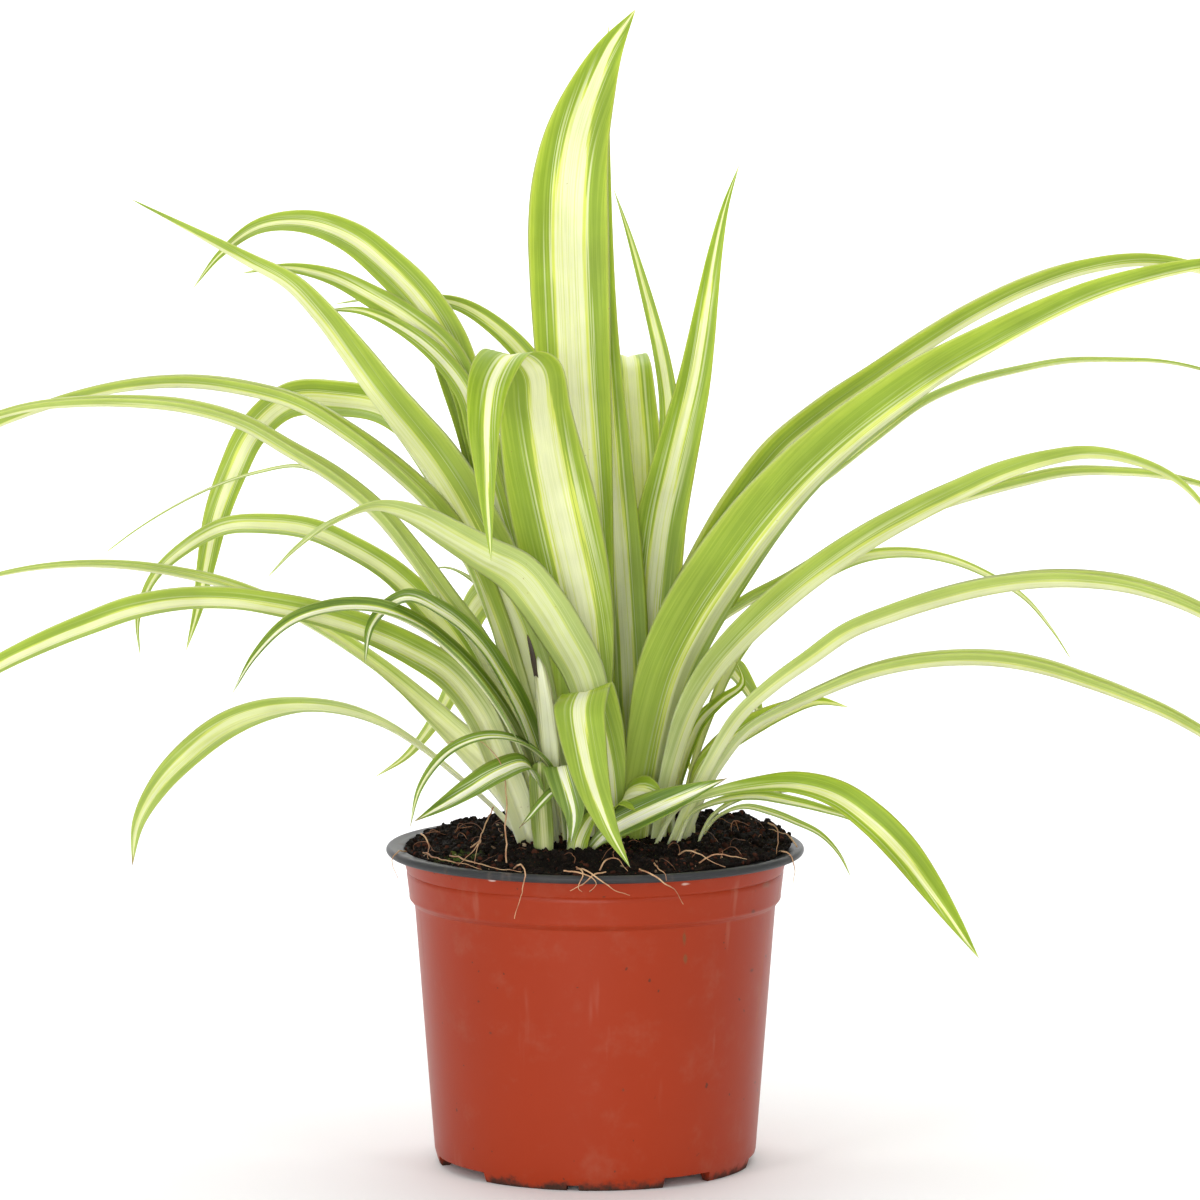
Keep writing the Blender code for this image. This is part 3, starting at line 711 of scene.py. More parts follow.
def guide_mesh(name, stations, spacing, seed, dress):
    """A line along the blade's keel whose points carry the blade's directions and sizes."""
    keel, side, upper, half, rise, tip = stations
    sunk = keel[0] - BURIED * unit(keel[1:2] - keel[:1])[0]
    keel = np.vstack([sunk, keel, tip])
    side = np.vstack([side[:1], side, side[-1:]])
    upper = np.vstack([upper[:1], upper, upper[-1:]])
    half = np.concatenate([half[:1], half, [0]])
    rise = np.concatenate([rise[:1], rise, [0]])
    stops = np.concatenate([[0], np.cumsum(np.linalg.norm(np.diff(keel, axis=0), axis=1))])
    rows = max(FEWEST_ROWS, round(stops[-1] / spacing))
    at = np.linspace(0, stops[-1], rows)
    points = hermite(stops, keel, at)
    sides = unit(hermite(stops, side, at))
    uppers = hermite(stops, upper, at)
    uppers = unit(uppers - sides * (uppers * sides).sum(1)[:, None])
    near_foot = np.exp(-(((at - BURIED) / (dress.spread * MM)) ** 2))
    points[:, :2] += np.array(dress.shift) * MM * near_foot[:, None]
    turn = math.radians(dress.roll) * np.sign(sides[0, 1]) * near_foot[:, None]
    turned = sides * np.cos(turn) + uppers * np.sin(turn)
    uppers = uppers * np.cos(turn) - sides * np.sin(turn)
    halves = np.maximum(hermite(stops, half, at)[:, 0], 0)
    halves *= dress.breadth * (1 + dress.foot * near_foot)
    halves[-1] = 0
    mesh = bpy.data.meshes.new(name)
    mesh.from_pydata(points.tolist(), [(i, i + 1) for i in range(rows - 1)], [])
    carried = {
        "side": turned,
        "upper": uppers,
        "half_width": halves,
        "rise": hermite(stops, rise, at)[:, 0],
        "from_foot": at - BURIED,
        "to_tip": stops[-1] - at,
        "pale_reach": np.full(rows, min(LONGEST_FADE, dress.reach * stops[-1])),
        "seed": np.full(rows, seed),
        "pale_foot": np.full(rows, dress.pale),
        "washed": np.full(rows, dress.wash),
        "stripe_place": np.full(rows, dress.offset),
        "stripe_gain": dress.stripe * np.interp(at / stops[-1], STRIPE_CHANGE, (1, dress.end)),
    }
    for key, values in carried.items():
        kind, slot = ("FLOAT_VECTOR", "vector") if values.ndim == 2 else ("FLOAT", "value")
        data = mesh.attributes.new(key, kind, "POINT").data
        data.foreach_set(slot, values.astype(np.float32).ravel())
    return mesh, halves.max()


def blade_tree():
    """A leaf blade along its guide: two skins that meet at the margins, with a grooved midrib and pleats."""
    inputs = {"Columns": "Int", **dict.fromkeys(BLADE_SIZES, "Float")}
    tree, w, given = geometry_tree("arching_blade", inputs)
    guide = given["Geometry"]
    rows = w.field("GeometryNodeAttributeDomainSize", [guide], "Point Count", component="MESH")
    grid = w.field("GeometryNodeMeshGrid", [2.0, 1.0, given["Columns"], rows])
    place = w.fields("ShaderNodeSeparateXYZ", [w.position()])
    grid = w.stored(grid, "across", place["X"])
    grid = w.stored(grid, "row", w.math("ROUND", (place["Y"] + 0.5) * (rows - 1.0)))

    def sampled(field, kind="FLOAT"):
        """The field's value on the guide, at this row of the grid."""
        feeds = {0: guide, 1: field, 2: w.attribute("row")}
        return w.field("GeometryNodeSampleIndex", feeds, data_type=kind)

    point = sampled(w.position(), "FLOAT_VECTOR")
    side, upper = (sampled(w.attribute(name, "FLOAT_VECTOR"), "FLOAT_VECTOR") for name in ("side", "upper"))
    at = {name: sampled(w.attribute(name)) for name in ("rise", *BLADE_LENGTHS, *BLADE_NUMBERS)}
    across, foot, half = w.attribute("across"), at["from_foot"], at["half_width"]
    out = abs(across)
    groove = w.step(out, 0.0, GROOVE_WIDTH, -1.0, 0.0) * given["Midrib Depth"]
    pleats = w.math("SINE", across * PLEAT_RATE) * given["Pleat Depth"]
    wave_place = w.point(foot * WAVE_RATE, w.math("SIGN", across), at["seed"] * 50.0)
    wave = (w.noise(wave_place, 1.0, 1.0) - 0.5) * given["Margin Wave"] * out**3.0
    lift = (groove + pleats + wave) * w.step(half, 0.0, 6 * MM) + at["rise"] * out**1.25
    closed = w.step(at["to_tip"], 0.0, BLUNT_END) * w.step(foot, -BURIED, -BURIED / 2)
    skin = (1.0 - out**4.0) * closed * (given["Thickness"] * 0.5)
    centre = w.vector("ADD", point, w.scaled(side, across * half))
    for name in BLADE_LENGTHS:
        grid = w.stored(grid, name + "_mm", at[name] / MM)
    for name in BLADE_NUMBERS:
        grid = w.stored(grid, name, at[name])
    both = w.node("GeometryNodeJoinGeometry")
    for is_upper, height in ((0.0, lift - skin), (1.0, lift + skin)):
        moved = w.vector("ADD", centre, w.scaled(upper, height))
        sheet = w.field("GeometryNodeSetPosition", {"Geometry": grid, "Position": moved})
        if is_upper:
            sheet = w.field("GeometryNodeFlipFaces", [sheet])
        w.feed(both.inputs[0], w.stored(sheet, "upper_face", is_upper, "FACE"))
    joined = {"Geometry": Field(w, both.outputs[0]), "Distance": 0.01 * MM}
    merged = w.field("GeometryNodeMergeByDistance", joined)
    finish_tree(w, w.field("GeometryNodeSetShadeSmooth", [merged]), given["Material"])
    return tree


class Dress(NamedTuple):
    """How a blade differs from its body in the frame.

    Breadth is a gain on its width, and foot the share that is added to that near the soil, dying away
    over the spread in millimetres. Roll turns the upper face to the front there, in degrees, and shift
    moves the foot in x and y, in millimetres. Pale is how whitish the foot is, and reach the share of the
    length where that fades. Wash mixes a pale green over the whole blade. Stripe is a gain on the pale
    stripe's share of the width, end is what is left of that gain towards the tip, and offset moves the
    stripe to one side as a share of the half width.
    """

    breadth: float = 1.0
    foot: float = 0.7
    spread: float = 60.0
    roll: float = 0.0
    shift: tuple = (0.0, 0.0)
    pale: float = 0.5
    reach: float = 0.35
    wash: float = 0.0
    stripe: float = 1.0
    end: float = 1.0
    offset: float = 0.0


DRESSES = {
    "centre": Dress(foot=0.7, pale=0.55, stripe=1.1, wash=0.1),
    "centre_1": Dress(foot=0.3, pale=0.6, stripe=1.45, end=0.8),
    "centre_2": Dress(foot=0.7, pale=0.3, stripe=0.9, wash=0.05),
    "centre_4": Dress(foot=0.3, pale=0.5, stripe=1.2, wash=0.1),
    "centre_5": Dress(breadth=0.95, foot=0.6, pale=0.3, reach=0.5, stripe=0.8),
    "front": Dress(foot=0.5, pale=0.4),
    "front_1": Dress(foot=0.1, pale=0.1, stripe=1.15, end=0.6, offset=0.15),
    "front_2": Dress(breadth=0.9, foot=-0.2, spread=45, pale=0.5, stripe=1.45, wash=0.5),
    "front_3": Dress(breadth=0.87, foot=0.3, pale=0.1, stripe=0.72),
    "upper_left": Dress(foot=0.9, pale=0.4, stripe=0.95, wash=0.1),
    "upper_left_1": Dress(foot=0.5, pale=0.4, stripe=1.2, wash=0.1),
    "upper_left_2": Dress(breadth=1.15, foot=0.9, pale=0.4, stripe=0.8, wash=0.1),
    "left": Dress(foot=1.4, pale=0.9, stripe=1.2, wash=0.25),
    "left_1": Dress(foot=1.3, roll=25, pale=0.8, stripe=1.2, wash=0.2),
    "left_2": Dress(foot=1.6, roll=35, pale=0.9, stripe=1.2, wash=0.35),
    "left_3": Dress(foot=2.3, spread=40, roll=60, shift=(4.2, -8), pale=0.9, stripe=1.3, wash=0.3),
    "left_4": Dress(foot=1.5, roll=40, pale=0.85, reach=0.45, stripe=0.9, wash=0.15),
    "left_5": Dress(foot=0.9, pale=0.95, reach=0.8, stripe=1.3, wash=0.3),
    "left_6": Dress(foot=1.0, pale=0.5, stripe=1.1, wash=0.1),
    "left_7": Dress(foot=1.2, pale=0.8, stripe=1.1, wash=0.2),
    "left_11": Dress(breadth=1.25, foot=0.7, pale=0.6, stripe=1.2),
    "left_12": Dress(breadth=1.25, foot=0.7, pale=0.6, stripe=1.2),
    "small": Dress(foot=0.2, pale=0.15, stripe=1.1),
    "small_4": Dress(foot=0.1, pale=0.0, stripe=0.9),
    "small_5": Dress(breadth=1.4, foot=0.6, pale=0.5, stripe=2.2),
    "small_6": Dress(breadth=1.2, foot=0.0, pale=0.1, stripe=1.4),
    "right": Dress(foot=1.1, pale=0.4, stripe=1.1, wash=0.15),
    "right_1": Dress(foot=0.9, pale=0.4, stripe=0.9),
    "right_2": Dress(foot=1.0, pale=0.35, reach=0.3, stripe=0.85, offset=0.16),
    "right_6": Dress(breadth=0.78, foot=1.1, pale=0.4, stripe=1.5, wash=0.3),
    "right_7": Dress(foot=1.1, pale=0.4, stripe=1.5, wash=0.3),
    "right_8": Dress(foot=1.1, pale=0.4, stripe=1.5, wash=0.3),
    "right_9": Dress(breadth=0.75, foot=0.2, pale=0.3, stripe=1.7),
    "right_10": Dress(foot=0.1, pale=0.5, stripe=0.75, offset=-0.22),
    "right_11": Dress(foot=0.2, pale=0.6),
    "right_12": Dress(foot=0.2, pale=0.6),
    "right_13": Dress(foot=0.2, pale=0.6),
    "right_14": Dress(breadth=0.9, foot=0.4, pale=0.5, stripe=1.4),
    "back": Dress(foot=0.8, pale=0.5),
}


def dress_of(blade):
    """The dress of the blade itself, or of its group."""
    return DRESSES.get(blade) or DRESSES[blade.rsplit("_", 1)[0]]


class Sprout(NamedTuple):
    """A short blade that the frame doesn't hold. The route of its keel and its width are in millimetres.

    Facing is the way that the upper face looks. The roundness makes the end blunt.
    """

    route: tuple
    width: float
    facing: tuple
    roundness: float
    finish: str
    dress: Dress


SPROUTS = {
    "sheath": Sprout(
        ((-14.6, -23.5, 92), (-14.9, -24.6, 100), (-15.6, -25, 110), (-16.1, -25, 117), (-16, -23.4, 121.6)),
        6.6, (-0.15, -1, 0), 5.0, "olive", Dress(foot=0.0, pale=0.2),
    ),
    "shoot": Sprout(
        ((-5.4, -25.5, 92), (-4.6, -26.5, 98), (-2.6, -27.5, 103), (0.4, -28.5, 108.0)),
        5.2, (-0.5, -1, 0.3), 2.0, "fresh", Dress(foot=0.4, stripe=1.3),
    ),
    "stalk": Sprout(
        ((-12.5, -15, 116), (-13.3, -16, 126), (-14.6, -16.5, 138), (-16.6, -16, 151)),
        6.0, (0.1, -1, 0), 4.0, "withered", Dress(foot=0.0, pale=0.0, stripe=1.6),
    ),
    "sliver": Sprout(
        ((-17.4, -17, 147), (-18.2, -17.5, 152), (-19.6, -17.5, 157.5)),
        1.7, (0.1, -1, 0), 2.0, "dead", Dress(foot=0.0, pale=0.0, stripe=0.0),
    ),
}
SPROUT_ROWS = 14
# How far a sprout's margins rise above its keel, as a share of the half width.
SPROUT_RISE = 0.3


def laid_sections(sprout):
    """Sections like those of a CAD blade, for a sprout."""
    at = np.linspace(0, 1, SPROUT_ROWS)
    keel = hermite(np.linspace(0, 1, len(sprout.route)), np.array(sprout.route, float) * MM, at)
    way = unit(np.gradient(keel, axis=0))
    facing = np.array(sprout.facing, float)
    upper = unit(facing - way * (way @ facing)[:, None])
    half = 0.5 * sprout.width * MM * np.minimum(1, 0.75 + 0.8 * at) * np.sqrt(1 - at**sprout.roundness)
    side, rise = np.cross(upper, way), SPROUT_RISE * half
    return keel[:-1], side[:-1], upper[:-1], half[:-1], rise[:-1], keel[-1]


# The leaves that are finished in another way than the rest.
# The middle blades' feet take painted shade tinted like light through leaves, in place of the pale foot.
GLOW_PAINTED_FEET = ("centre_1", "centre_2", "centre_3", "centre_4", "centre_5", "right_1", "right_2")
YOUNG = ("small_1", "small_2", "small_3", "small_4", "small_6", "left_11", "left_12")
BROWN_TIPPED = ("small_1", "small_2", "small_3", "small_6", "right_12", "left_5")
OLIVE = {
    "Margin": (0.28, 0.36, 0.07),
    "Deep": (0.17, 0.24, 0.03),
    "Cream": (0.62, 0.64, 0.32),
    "Line": (0.45, 0.5, 0.16),
}
WITHERED = {
    "Stripe": 0.6,
    "Margin": (0.5, 0.52, 0.26),
    "Deep": (0.2, 0.2, 0.09),
    "Cream": (0.76, 0.78, 0.54),
    "Line": (0.6, 0.62, 0.36),
}
DEAD = dict.fromkeys(BLADE_TONES, (0.03, 0.018, 0.008))
YOUNG_STRIPE = 0.34
# Steps of the golden ratio spread the blades' seeds evenly. The sprouts count from a place of their own.
GOLDEN = 0.618034
FIRST_SPROUT = 40
COLUMN_LIMITS = (8, 30)


def values_of(settings, names):
    """The settings for sockets of these names."""
    return {name: getattr(settings, name.lower().replace(" ", "_")) for name in names}


def finish_of(leaf):
    """The name of a leaf's finish."""
    if leaf in GLOW_PAINTED_FEET:
        return "glow_painted"
    age = "young" if leaf in YOUNG else "fresh"
    return age + "_browned" if leaf in BROWN_TIPPED else age


class SPIDER_PLANT_OT_leaves(bpy.types.Operator):
    """Makes every striped blade along its keel in the frame"""

    bl_idname = "spider_plant.leaves"
    bl_label = "Leaves"

    def execute(self, context):
        settings = context.scene.spider_blades
        finishes = self.finishes(settings)
        tree = blade_tree()

        def blade(name, stations, place, dress, finish):
            """A blade's guide with the tree that makes the blade on it."""
            mesh, half = guide_mesh(name, stations, settings.row_spacing, place * GOLDEN % 1, dress)
            columns = int(np.clip(round(2 * half / settings.column_width), *COLUMN_LIMITS))
            # An odd count puts a column of points on the midrib.
            values = {"Columns": columns + 1 - columns % 2, "Material": finishes[finish]}
            return with_tree(add_object(name, mesh), tree, values | values_of(settings, BLADE_SIZES))

        leaves = sorted(name.removeprefix("leaf_") for name in frame["nodes"] if name.startswith("leaf_"))
        blades = [
            blade("blade_" + leaf, sections("leaf_" + leaf), place, dress_of(leaf), finish_of(leaf))
            for place, leaf in enumerate(leaves)
        ]
        sprouts = [
            blade(name, laid_sections(sprout), place, sprout.dress, sprout.finish)
            for place, (name, sprout) in enumerate(SPROUTS.items(), FIRST_SPROUT)
        ]
        made_plain(*blades, *sprouts)
        for leaf, piece in zip(leaves, blades):
            seated(piece, "leaf", "leaf_" + leaf)
        for piece in sprouts:
            seated(piece, "leaf")
        return {"FINISHED"}

    def finishes(self, settings):
        """The materials of the blades, by name."""
        fresh = values_of(settings, ("Stripe", *BLADE_TONES))
        young = {
            "Stripe": YOUNG_STRIPE,
            "Margin": settings.young_margin,
            "Deep": settings.young_deep,
            "Cream": settings.young_stripe,
        }
        changes = {
            "fresh": {},
            "fresh_browned": {"Brown Tip": 1.0},
            "young": young,
            "young_browned": {**young, "Brown Tip": 1.0},
            # The middle blades' foot colour is painted shade tinted like light through leaves.
            "glow_painted": {"Foot": settings.glow_painted_foot},
            "olive": OLIVE,
            "withered": WITHERED,
            "dead": DEAD,
        }
        group = blade_group()
        looks = {name: fresh | change for name, change in changes.items()}
        return {name: blade_material("blade_" + name, group, look) for name, look in looks.items()}


# Pot


def span_rings(shape, rings, steps, second_finish=()):
    """Faces between neighbouring rings. A ring of one vertex is a pole. Two poles in a row stay apart."""
    for place, (low, high) in enumerate(zip(rings, rings[1:])):
        if len(low) + len(high) == 2:
            continue
        for i in range(steps):
            j = (i + 1) % steps
            corners = [low[i % len(low)], low[j % len(low)], high[j % len(high)], high[i % len(high)]]
            face = shape.faces.new(list(dict.fromkeys(corners)))
            face.material_index = int(place in second_finish)


def revolved(name, profile, wobble, charcoal):
    """A surface turned from (radius, height) points. Charcoal lists the spans that have that finish."""
    shape = bmesh.new()
    rings = []
    for radius, height in profile:
        if radius < TOUCHING:
            rings.append([shape.verts.new((0, 0, height))])
            continue
        ring = []
        for i in range(POT_STEPS):
            angle = 2 * math.pi * i / POT_STEPS
            around = Vector((math.cos(angle), math.sin(angle), 0))
            uneven = wobble * noise.noise(Vector((around.x * 2.6, around.y * 2.6, height * 22)))
            ring.append(shape.verts.new(around * (radius + uneven) + Vector((0, 0, height))))
        rings.append(ring)
    span_rings(shape, rings, POT_STEPS, charcoal)
    bmesh.ops.remove_doubles(shape, verts=shape.verts, dist=TOUCHING)
    bmesh.ops.recalc_face_normals(shape, faces=shape.faces)
    mesh = mesh_of(name, shape)
    mesh.shade_smooth()
    return mesh


def between(start, end, count):
    """Points from start up to but not including end."""
    return [tuple(a + (b - a) * i / count for a, b in zip(start, end)) for i in range(count)]


def rounded(centre, radius, start, end, count):
    """Points on an arc, by angles in degrees."""
    angles = [math.radians(start + (end - start) * i / count) for i in range(count + 1)]
    return [(centre[0] + radius * math.cos(a), centre[1] + radius * math.sin(a)) for a in angles]


WALL = 1.1 * MM
FLOOR_Z = 3.0 * MM
COLLAR_BOTTOM = 77.5 * MM
GROOVE_Z = 86.1 * MM
WALL_FOOT_RADIUS = 47.2 * MM
WALL_TOP_RADIUS = 53.0 * MM
COLLAR_RADIUS = 56.2 * MM
LIP_ROLL = 1.2 * MM
CORNER_Z = 7.0 * MM
CORNER = 2.8 * MM
RING_INSIDE = 42.0 * MM
FOOT_ROUND = 0.5 * MM
SHOULDER_ROUND = 0.9 * MM
FLARE_ROUND = 1.2 * MM
GROOVE_DEPTH = 0.3 * MM
LIP_FILLET = 1.1 * MM
MOUTH_ROUND = 1.9 * MM
DRAIN_HOLES = 5
DRAIN_RADIUS = 4.0 * MM
DRAIN_RING = 27.0 * MM
DRAIN_TURN = 0.3
NOTCH_DEPTH = 14.0 * MM
# Each notch's direction in degrees, and its width and height in millimetres.
NOTCHES = (
    (-150, 27, 3.0),
    (-98, 3.6, 1.6),
    (-55, 16, 3.0),
    (-5, 20, 3.0),
    (55, 24, 3.0),
    (105, 24, 3.0),
    (160, 24, 3.0),
)
POT_STEPS = 180
SHARP_ANGLE = 50


def wall_radius(height):
    up = (height - FLOOR_Z) / (COLLAR_BOTTOM - FLOOR_Z)
    return WALL_FOOT_RADIUS + up * (WALL_TOP_RADIUS - WALL_FOOT_RADIUS)


def pot_outside():
    """The outer profile from the foot ring up to the lip."""
    lip_z = POT_HEIGHT - 2 * LIP_ROLL
    start = COLLAR_BOTTOM - 1.4 * MM
    low_collar = COLLAR_RADIUS - 1.7 * MM
    x, z = COLLAR_RADIUS - 0.95 * MM, GROOVE_Z - 0.4 * MM
    points = rounded((WALL_FOOT_RADIUS - 1.5 * MM, FOOT_ROUND), FOOT_ROUND, -90, 0, 4)
    points += between((WALL_FOOT_RADIUS - 0.7 * MM, 1.2 * MM), (wall_radius(4 * MM), 4 * MM), 3)
    points += between((wall_radius(4 * MM), 4 * MM), (wall_radius(start), start), 28)
    points += rounded((wall_radius(start) + SHOULDER_ROUND, start), SHOULDER_ROUND, 180, 110, 4)
    points += rounded((low_collar - FLARE_ROUND, COLLAR_BOTTOM + FLARE_ROUND), FLARE_ROUND, -60, 0, 5)
    points += between((low_collar, COLLAR_BOTTOM + 1.8 * MM), (x, z), 6)
    points += [(x, z), (x - GROOVE_DEPTH, GROOVE_Z + 0.1 * MM), (x + 0.05 * MM, GROOVE_Z + 0.5 * MM)]
    points += between((x + 0.15 * MM, GROOVE_Z + 0.9 * MM), (COLLAR_RADIUS, lip_z - LIP_FILLET), 5)
    points += rounded((COLLAR_RADIUS + LIP_FILLET, lip_z - LIP_FILLET), LIP_FILLET, 180, 92, 5)
    points += [(RIM_RADIUS - LIP_ROLL - 0.6 * MM, lip_z + 0.02 * MM)]
    return points


def pot_lip():
    """The rolled lip from its underside over the top to the inner wall."""
    centre = (RIM_RADIUS - LIP_ROLL, POT_HEIGHT - LIP_ROLL)
    points = rounded(centre, LIP_ROLL, -80, 90, 12)
    points += between((centre[0], POT_HEIGHT), (COLLAR_RADIUS + 1.6 * MM, POT_HEIGHT - 0.35 * MM), 4)
    points += rounded((COLLAR_RADIUS + 0.9 * MM, POT_HEIGHT - 2.2 * MM), MOUTH_ROUND, 75, 180, 7)
    return points


def pot_inside():
    """The inner profile from the lip down to the floor, then the underside back to the foot ring."""
    collar = COLLAR_RADIUS - WALL
    bottom = wall_radius(CORNER_Z) - WALL
    top = FLOOR_Z + WALL
    points = between((collar, POT_HEIGHT - 2 * LIP_ROLL), (collar - 0.9 * MM, COLLAR_BOTTOM + 1.5 * MM), 6)
    points += between((wall_radius(COLLAR_BOTTOM) - WALL, COLLAR_BOTTOM - 1 * MM), (bottom, CORNER_Z), 20)
    points += rounded((bottom - CORNER, CORNER_Z), CORNER, 0, -90, 5)
    points += between((bottom - 4 * MM, top), (2 * MM, top), 5)
    points += [(0, top), (0, FLOOR_Z)]
    points += between((2 * MM, FLOOR_Z), (RING_INSIDE, FLOOR_Z), 5)
    points += [(RING_INSIDE + 0.2 * MM, FLOOR_Z), (RING_INSIDE + 1.2 * MM, 0.3 * MM)]
    points += [(RING_INSIDE + 1.6 * MM, 0)]
    return points


def cutter(name, make, **settings):
    """An object from one of the operators that make plain solids."""
    shape = bmesh.new()
    make(shape, **settings)
    return add_object(name, mesh_of(name, shape))


def foot_cutters():
    """What cuts the notches in the foot ring and the drain holes in the floor."""
    for direction, width, height in NOTCHES:
        turn = Matrix.Rotation(math.radians(direction), 4, "Z")
        place = turn @ Matrix.Translation((WALL_FOOT_RADIUS - 1 * MM, 0, 0))
        size = Matrix.Diagonal((NOTCH_DEPTH, width * MM, 2 * height * MM, 1))
        yield cutter("notch", bmesh.ops.create_cube, size=1, matrix=place @ size)
    hole = {"cap_ends": True, "segments": 32, "depth": 8 * WALL}
    hole |= {"radius1": DRAIN_RADIUS, "radius2": DRAIN_RADIUS}
    for i in range(DRAIN_HOLES):
        angle = 2 * math.pi * (i + DRAIN_TURN) / DRAIN_HOLES
        place = Matrix.Translation((DRAIN_RING * math.cos(angle), DRAIN_RING * math.sin(angle), FLOOR_Z))
        yield cutter("drain", bmesh.ops.create_cone, matrix=place, **hole)


class SPIDER_PLANT_OT_pot(bpy.types.Operator):
    """Makes the two-tone nursery pot with its rolled lip, collar, foot notches and drain holes"""

    bl_idname = "spider_plant.pot"
    bl_label = "Nursery pot"

    def execute(self, context):
        settings = context.scene.spider_pot
        group = plastic_group()
        outside = pot_outside()
        profile = outside + pot_lip() + pot_inside()
        charcoal = range(len(outside) - 1, profile.index((0, FLOOR_Z + WALL)))
        mesh = revolved("nursery_pot", profile + profile[:1], settings.wobble, charcoal)
        clay = plastic_material("terracotta_plastic", group, settings.clay, 0.36, 0.1, has_stains_and_glints=True)
        grey = plastic_material("charcoal_plastic", group, settings.charcoal, 0.42, 0.06)
        pot = add_object("nursery_pot", mesh, clay, grey)
        cutters = list(foot_cutters())
        for tool in cutters:
            cut = pot.modifiers.new(tool.name, "BOOLEAN")
            cut.operation = "DIFFERENCE"
            cut.object = tool
        made_plain(pot)
        for tool in cutters:
            bpy.data.objects.remove(tool)
        pot.data.set_sharp_from_angle(angle=math.radians(SHARP_ANGLE))
        seated(pot, "pot", "pot")
        return {"FINISHED"}


# Soil


# Radius and height of the soil's sides, from under the lip to the pot's floor.
SOIL_SIDES = (
    (SOIL_REACH, 90.5 * MM),
    (SOIL_REACH - 0.3 * MM, 84 * MM),
    (52.2 * MM, 78 * MM),
    (50.4 * MM, 70 * MM),
    (44.5 * MM, 9 * MM),
    (41 * MM, 4.6 * MM),
)
SOIL_STEPS = 144
SOIL_ROWS = 60
# The soil falls away from this share of its reach outwards, by so many millimetres less what the heap adds.
EDGE_START = 0.6
EDGE_DROP = 1.7
HEAP_RIGHT = 1.3
HEAP_BACK = 1.2
CLODS_PER_METRE = 130
LUMPS_PER_METRE = 330


def soil_level(x, y, relief):
    """Height of the soil: heaped round the crown and against the back and right, and lumpy."""
    radius = math.hypot(x, y)
    edge = min(1.0, max(0.0, (radius - EDGE_START * SOIL_REACH) / ((1 - EDGE_START) * SOIL_REACH)))
    edge = edge * edge * (3 - 2 * edge)
    heap = (HEAP_RIGHT * x + HEAP_BACK * y + HEAP_BACK * max(0.0, y)) / SOIL_REACH
    level = SOIL_HIGH.z + 0.3 * MM - edge * (EDGE_DROP - heap) * MM
    clods = noise.noise(Vector((x, y, 0.0)) * CLODS_PER_METRE)
    lumps = noise.fractal(Vector((x, y, 0.02)) * LUMPS_PER_METRE, 0.9, 2.0, 3)
    return level + relief * (0.5 * clods + 0.45 * lumps)


def soil_mesh(relief):
    """The soil as one closed body: a lumpy top that spills towards the lip, and sides inside the pot."""
    shape = bmesh.new()
    around = [2 * math.pi * k / SOIL_STEPS for k in range(SOIL_STEPS)]
    rings = [[shape.verts.new((0, 0, soil_level(0, 0, relief)))]]
    for i in range(1, SOIL_ROWS + 1):
        ring = []
        # The soil spills furthest at the right and at the front.
        for angle in around:
            to_right, to_back = math.cos(angle), math.sin(angle)
            spilled = SOIL_REACH + SPILL_REACH * (1 + 0.5 * to_right + 0.8 * max(0.0, -to_back))
            x, y = (spilled * i / SOIL_ROWS * way for way in (to_right, to_back))
            level = soil_level(x, y, relief)
            if math.hypot(x, y) > SOIL_REACH:
                level = max(level, POT_HEIGHT - 0.1 * MM)
            ring.append(shape.verts.new((x, y, level)))
        rings.append(ring)
    for radius, height in SOIL_SIDES:
        rings.append([shape.verts.new((radius * math.cos(a), radius * math.sin(a), height)) for a in around])
    rings.append([shape.verts.new((0, 0, SOIL_SIDES[-1][1]))])
    span_rings(shape, rings, SOIL_STEPS)
    bmesh.ops.recalc_face_normals(shape, faces=shape.faces)
    mesh = mesh_of("soil_surface", shape)
    mesh.shade_smooth()
    return mesh


def random_value(w, low, high, seed):
    """A random number for each point, or a vector where low and high are vectors."""
    place, kind = (0, "FLOAT_VECTOR") if isinstance(low, tuple) else (2, "FLOAT")
    feeds = {place: low, place + 1: high, "Seed": seed}
    return w.field("FunctionNodeRandomValue", feeds, place // 2, data_type=kind)


def shaken(w, geometry, scale, detail, reach):
    """The geometry with its points pushed about by a noise."""
    push = w.vector("SUBTRACT", w.noise(w.position(), scale, detail, output="Color"), (0.5, 0.5, 0.5))
    return w.field("GeometryNodeSetPosition", {"Geometry": geometry, "Offset": w.scaled(push, reach)})


# How far up the soil looks where crumbs begin to lie, and how much rarer the large crumbs are.
STEEPEST = 0.35
RARITY = 2.6
ROOT_POINTS = 26
ROOT_SIDES = 6


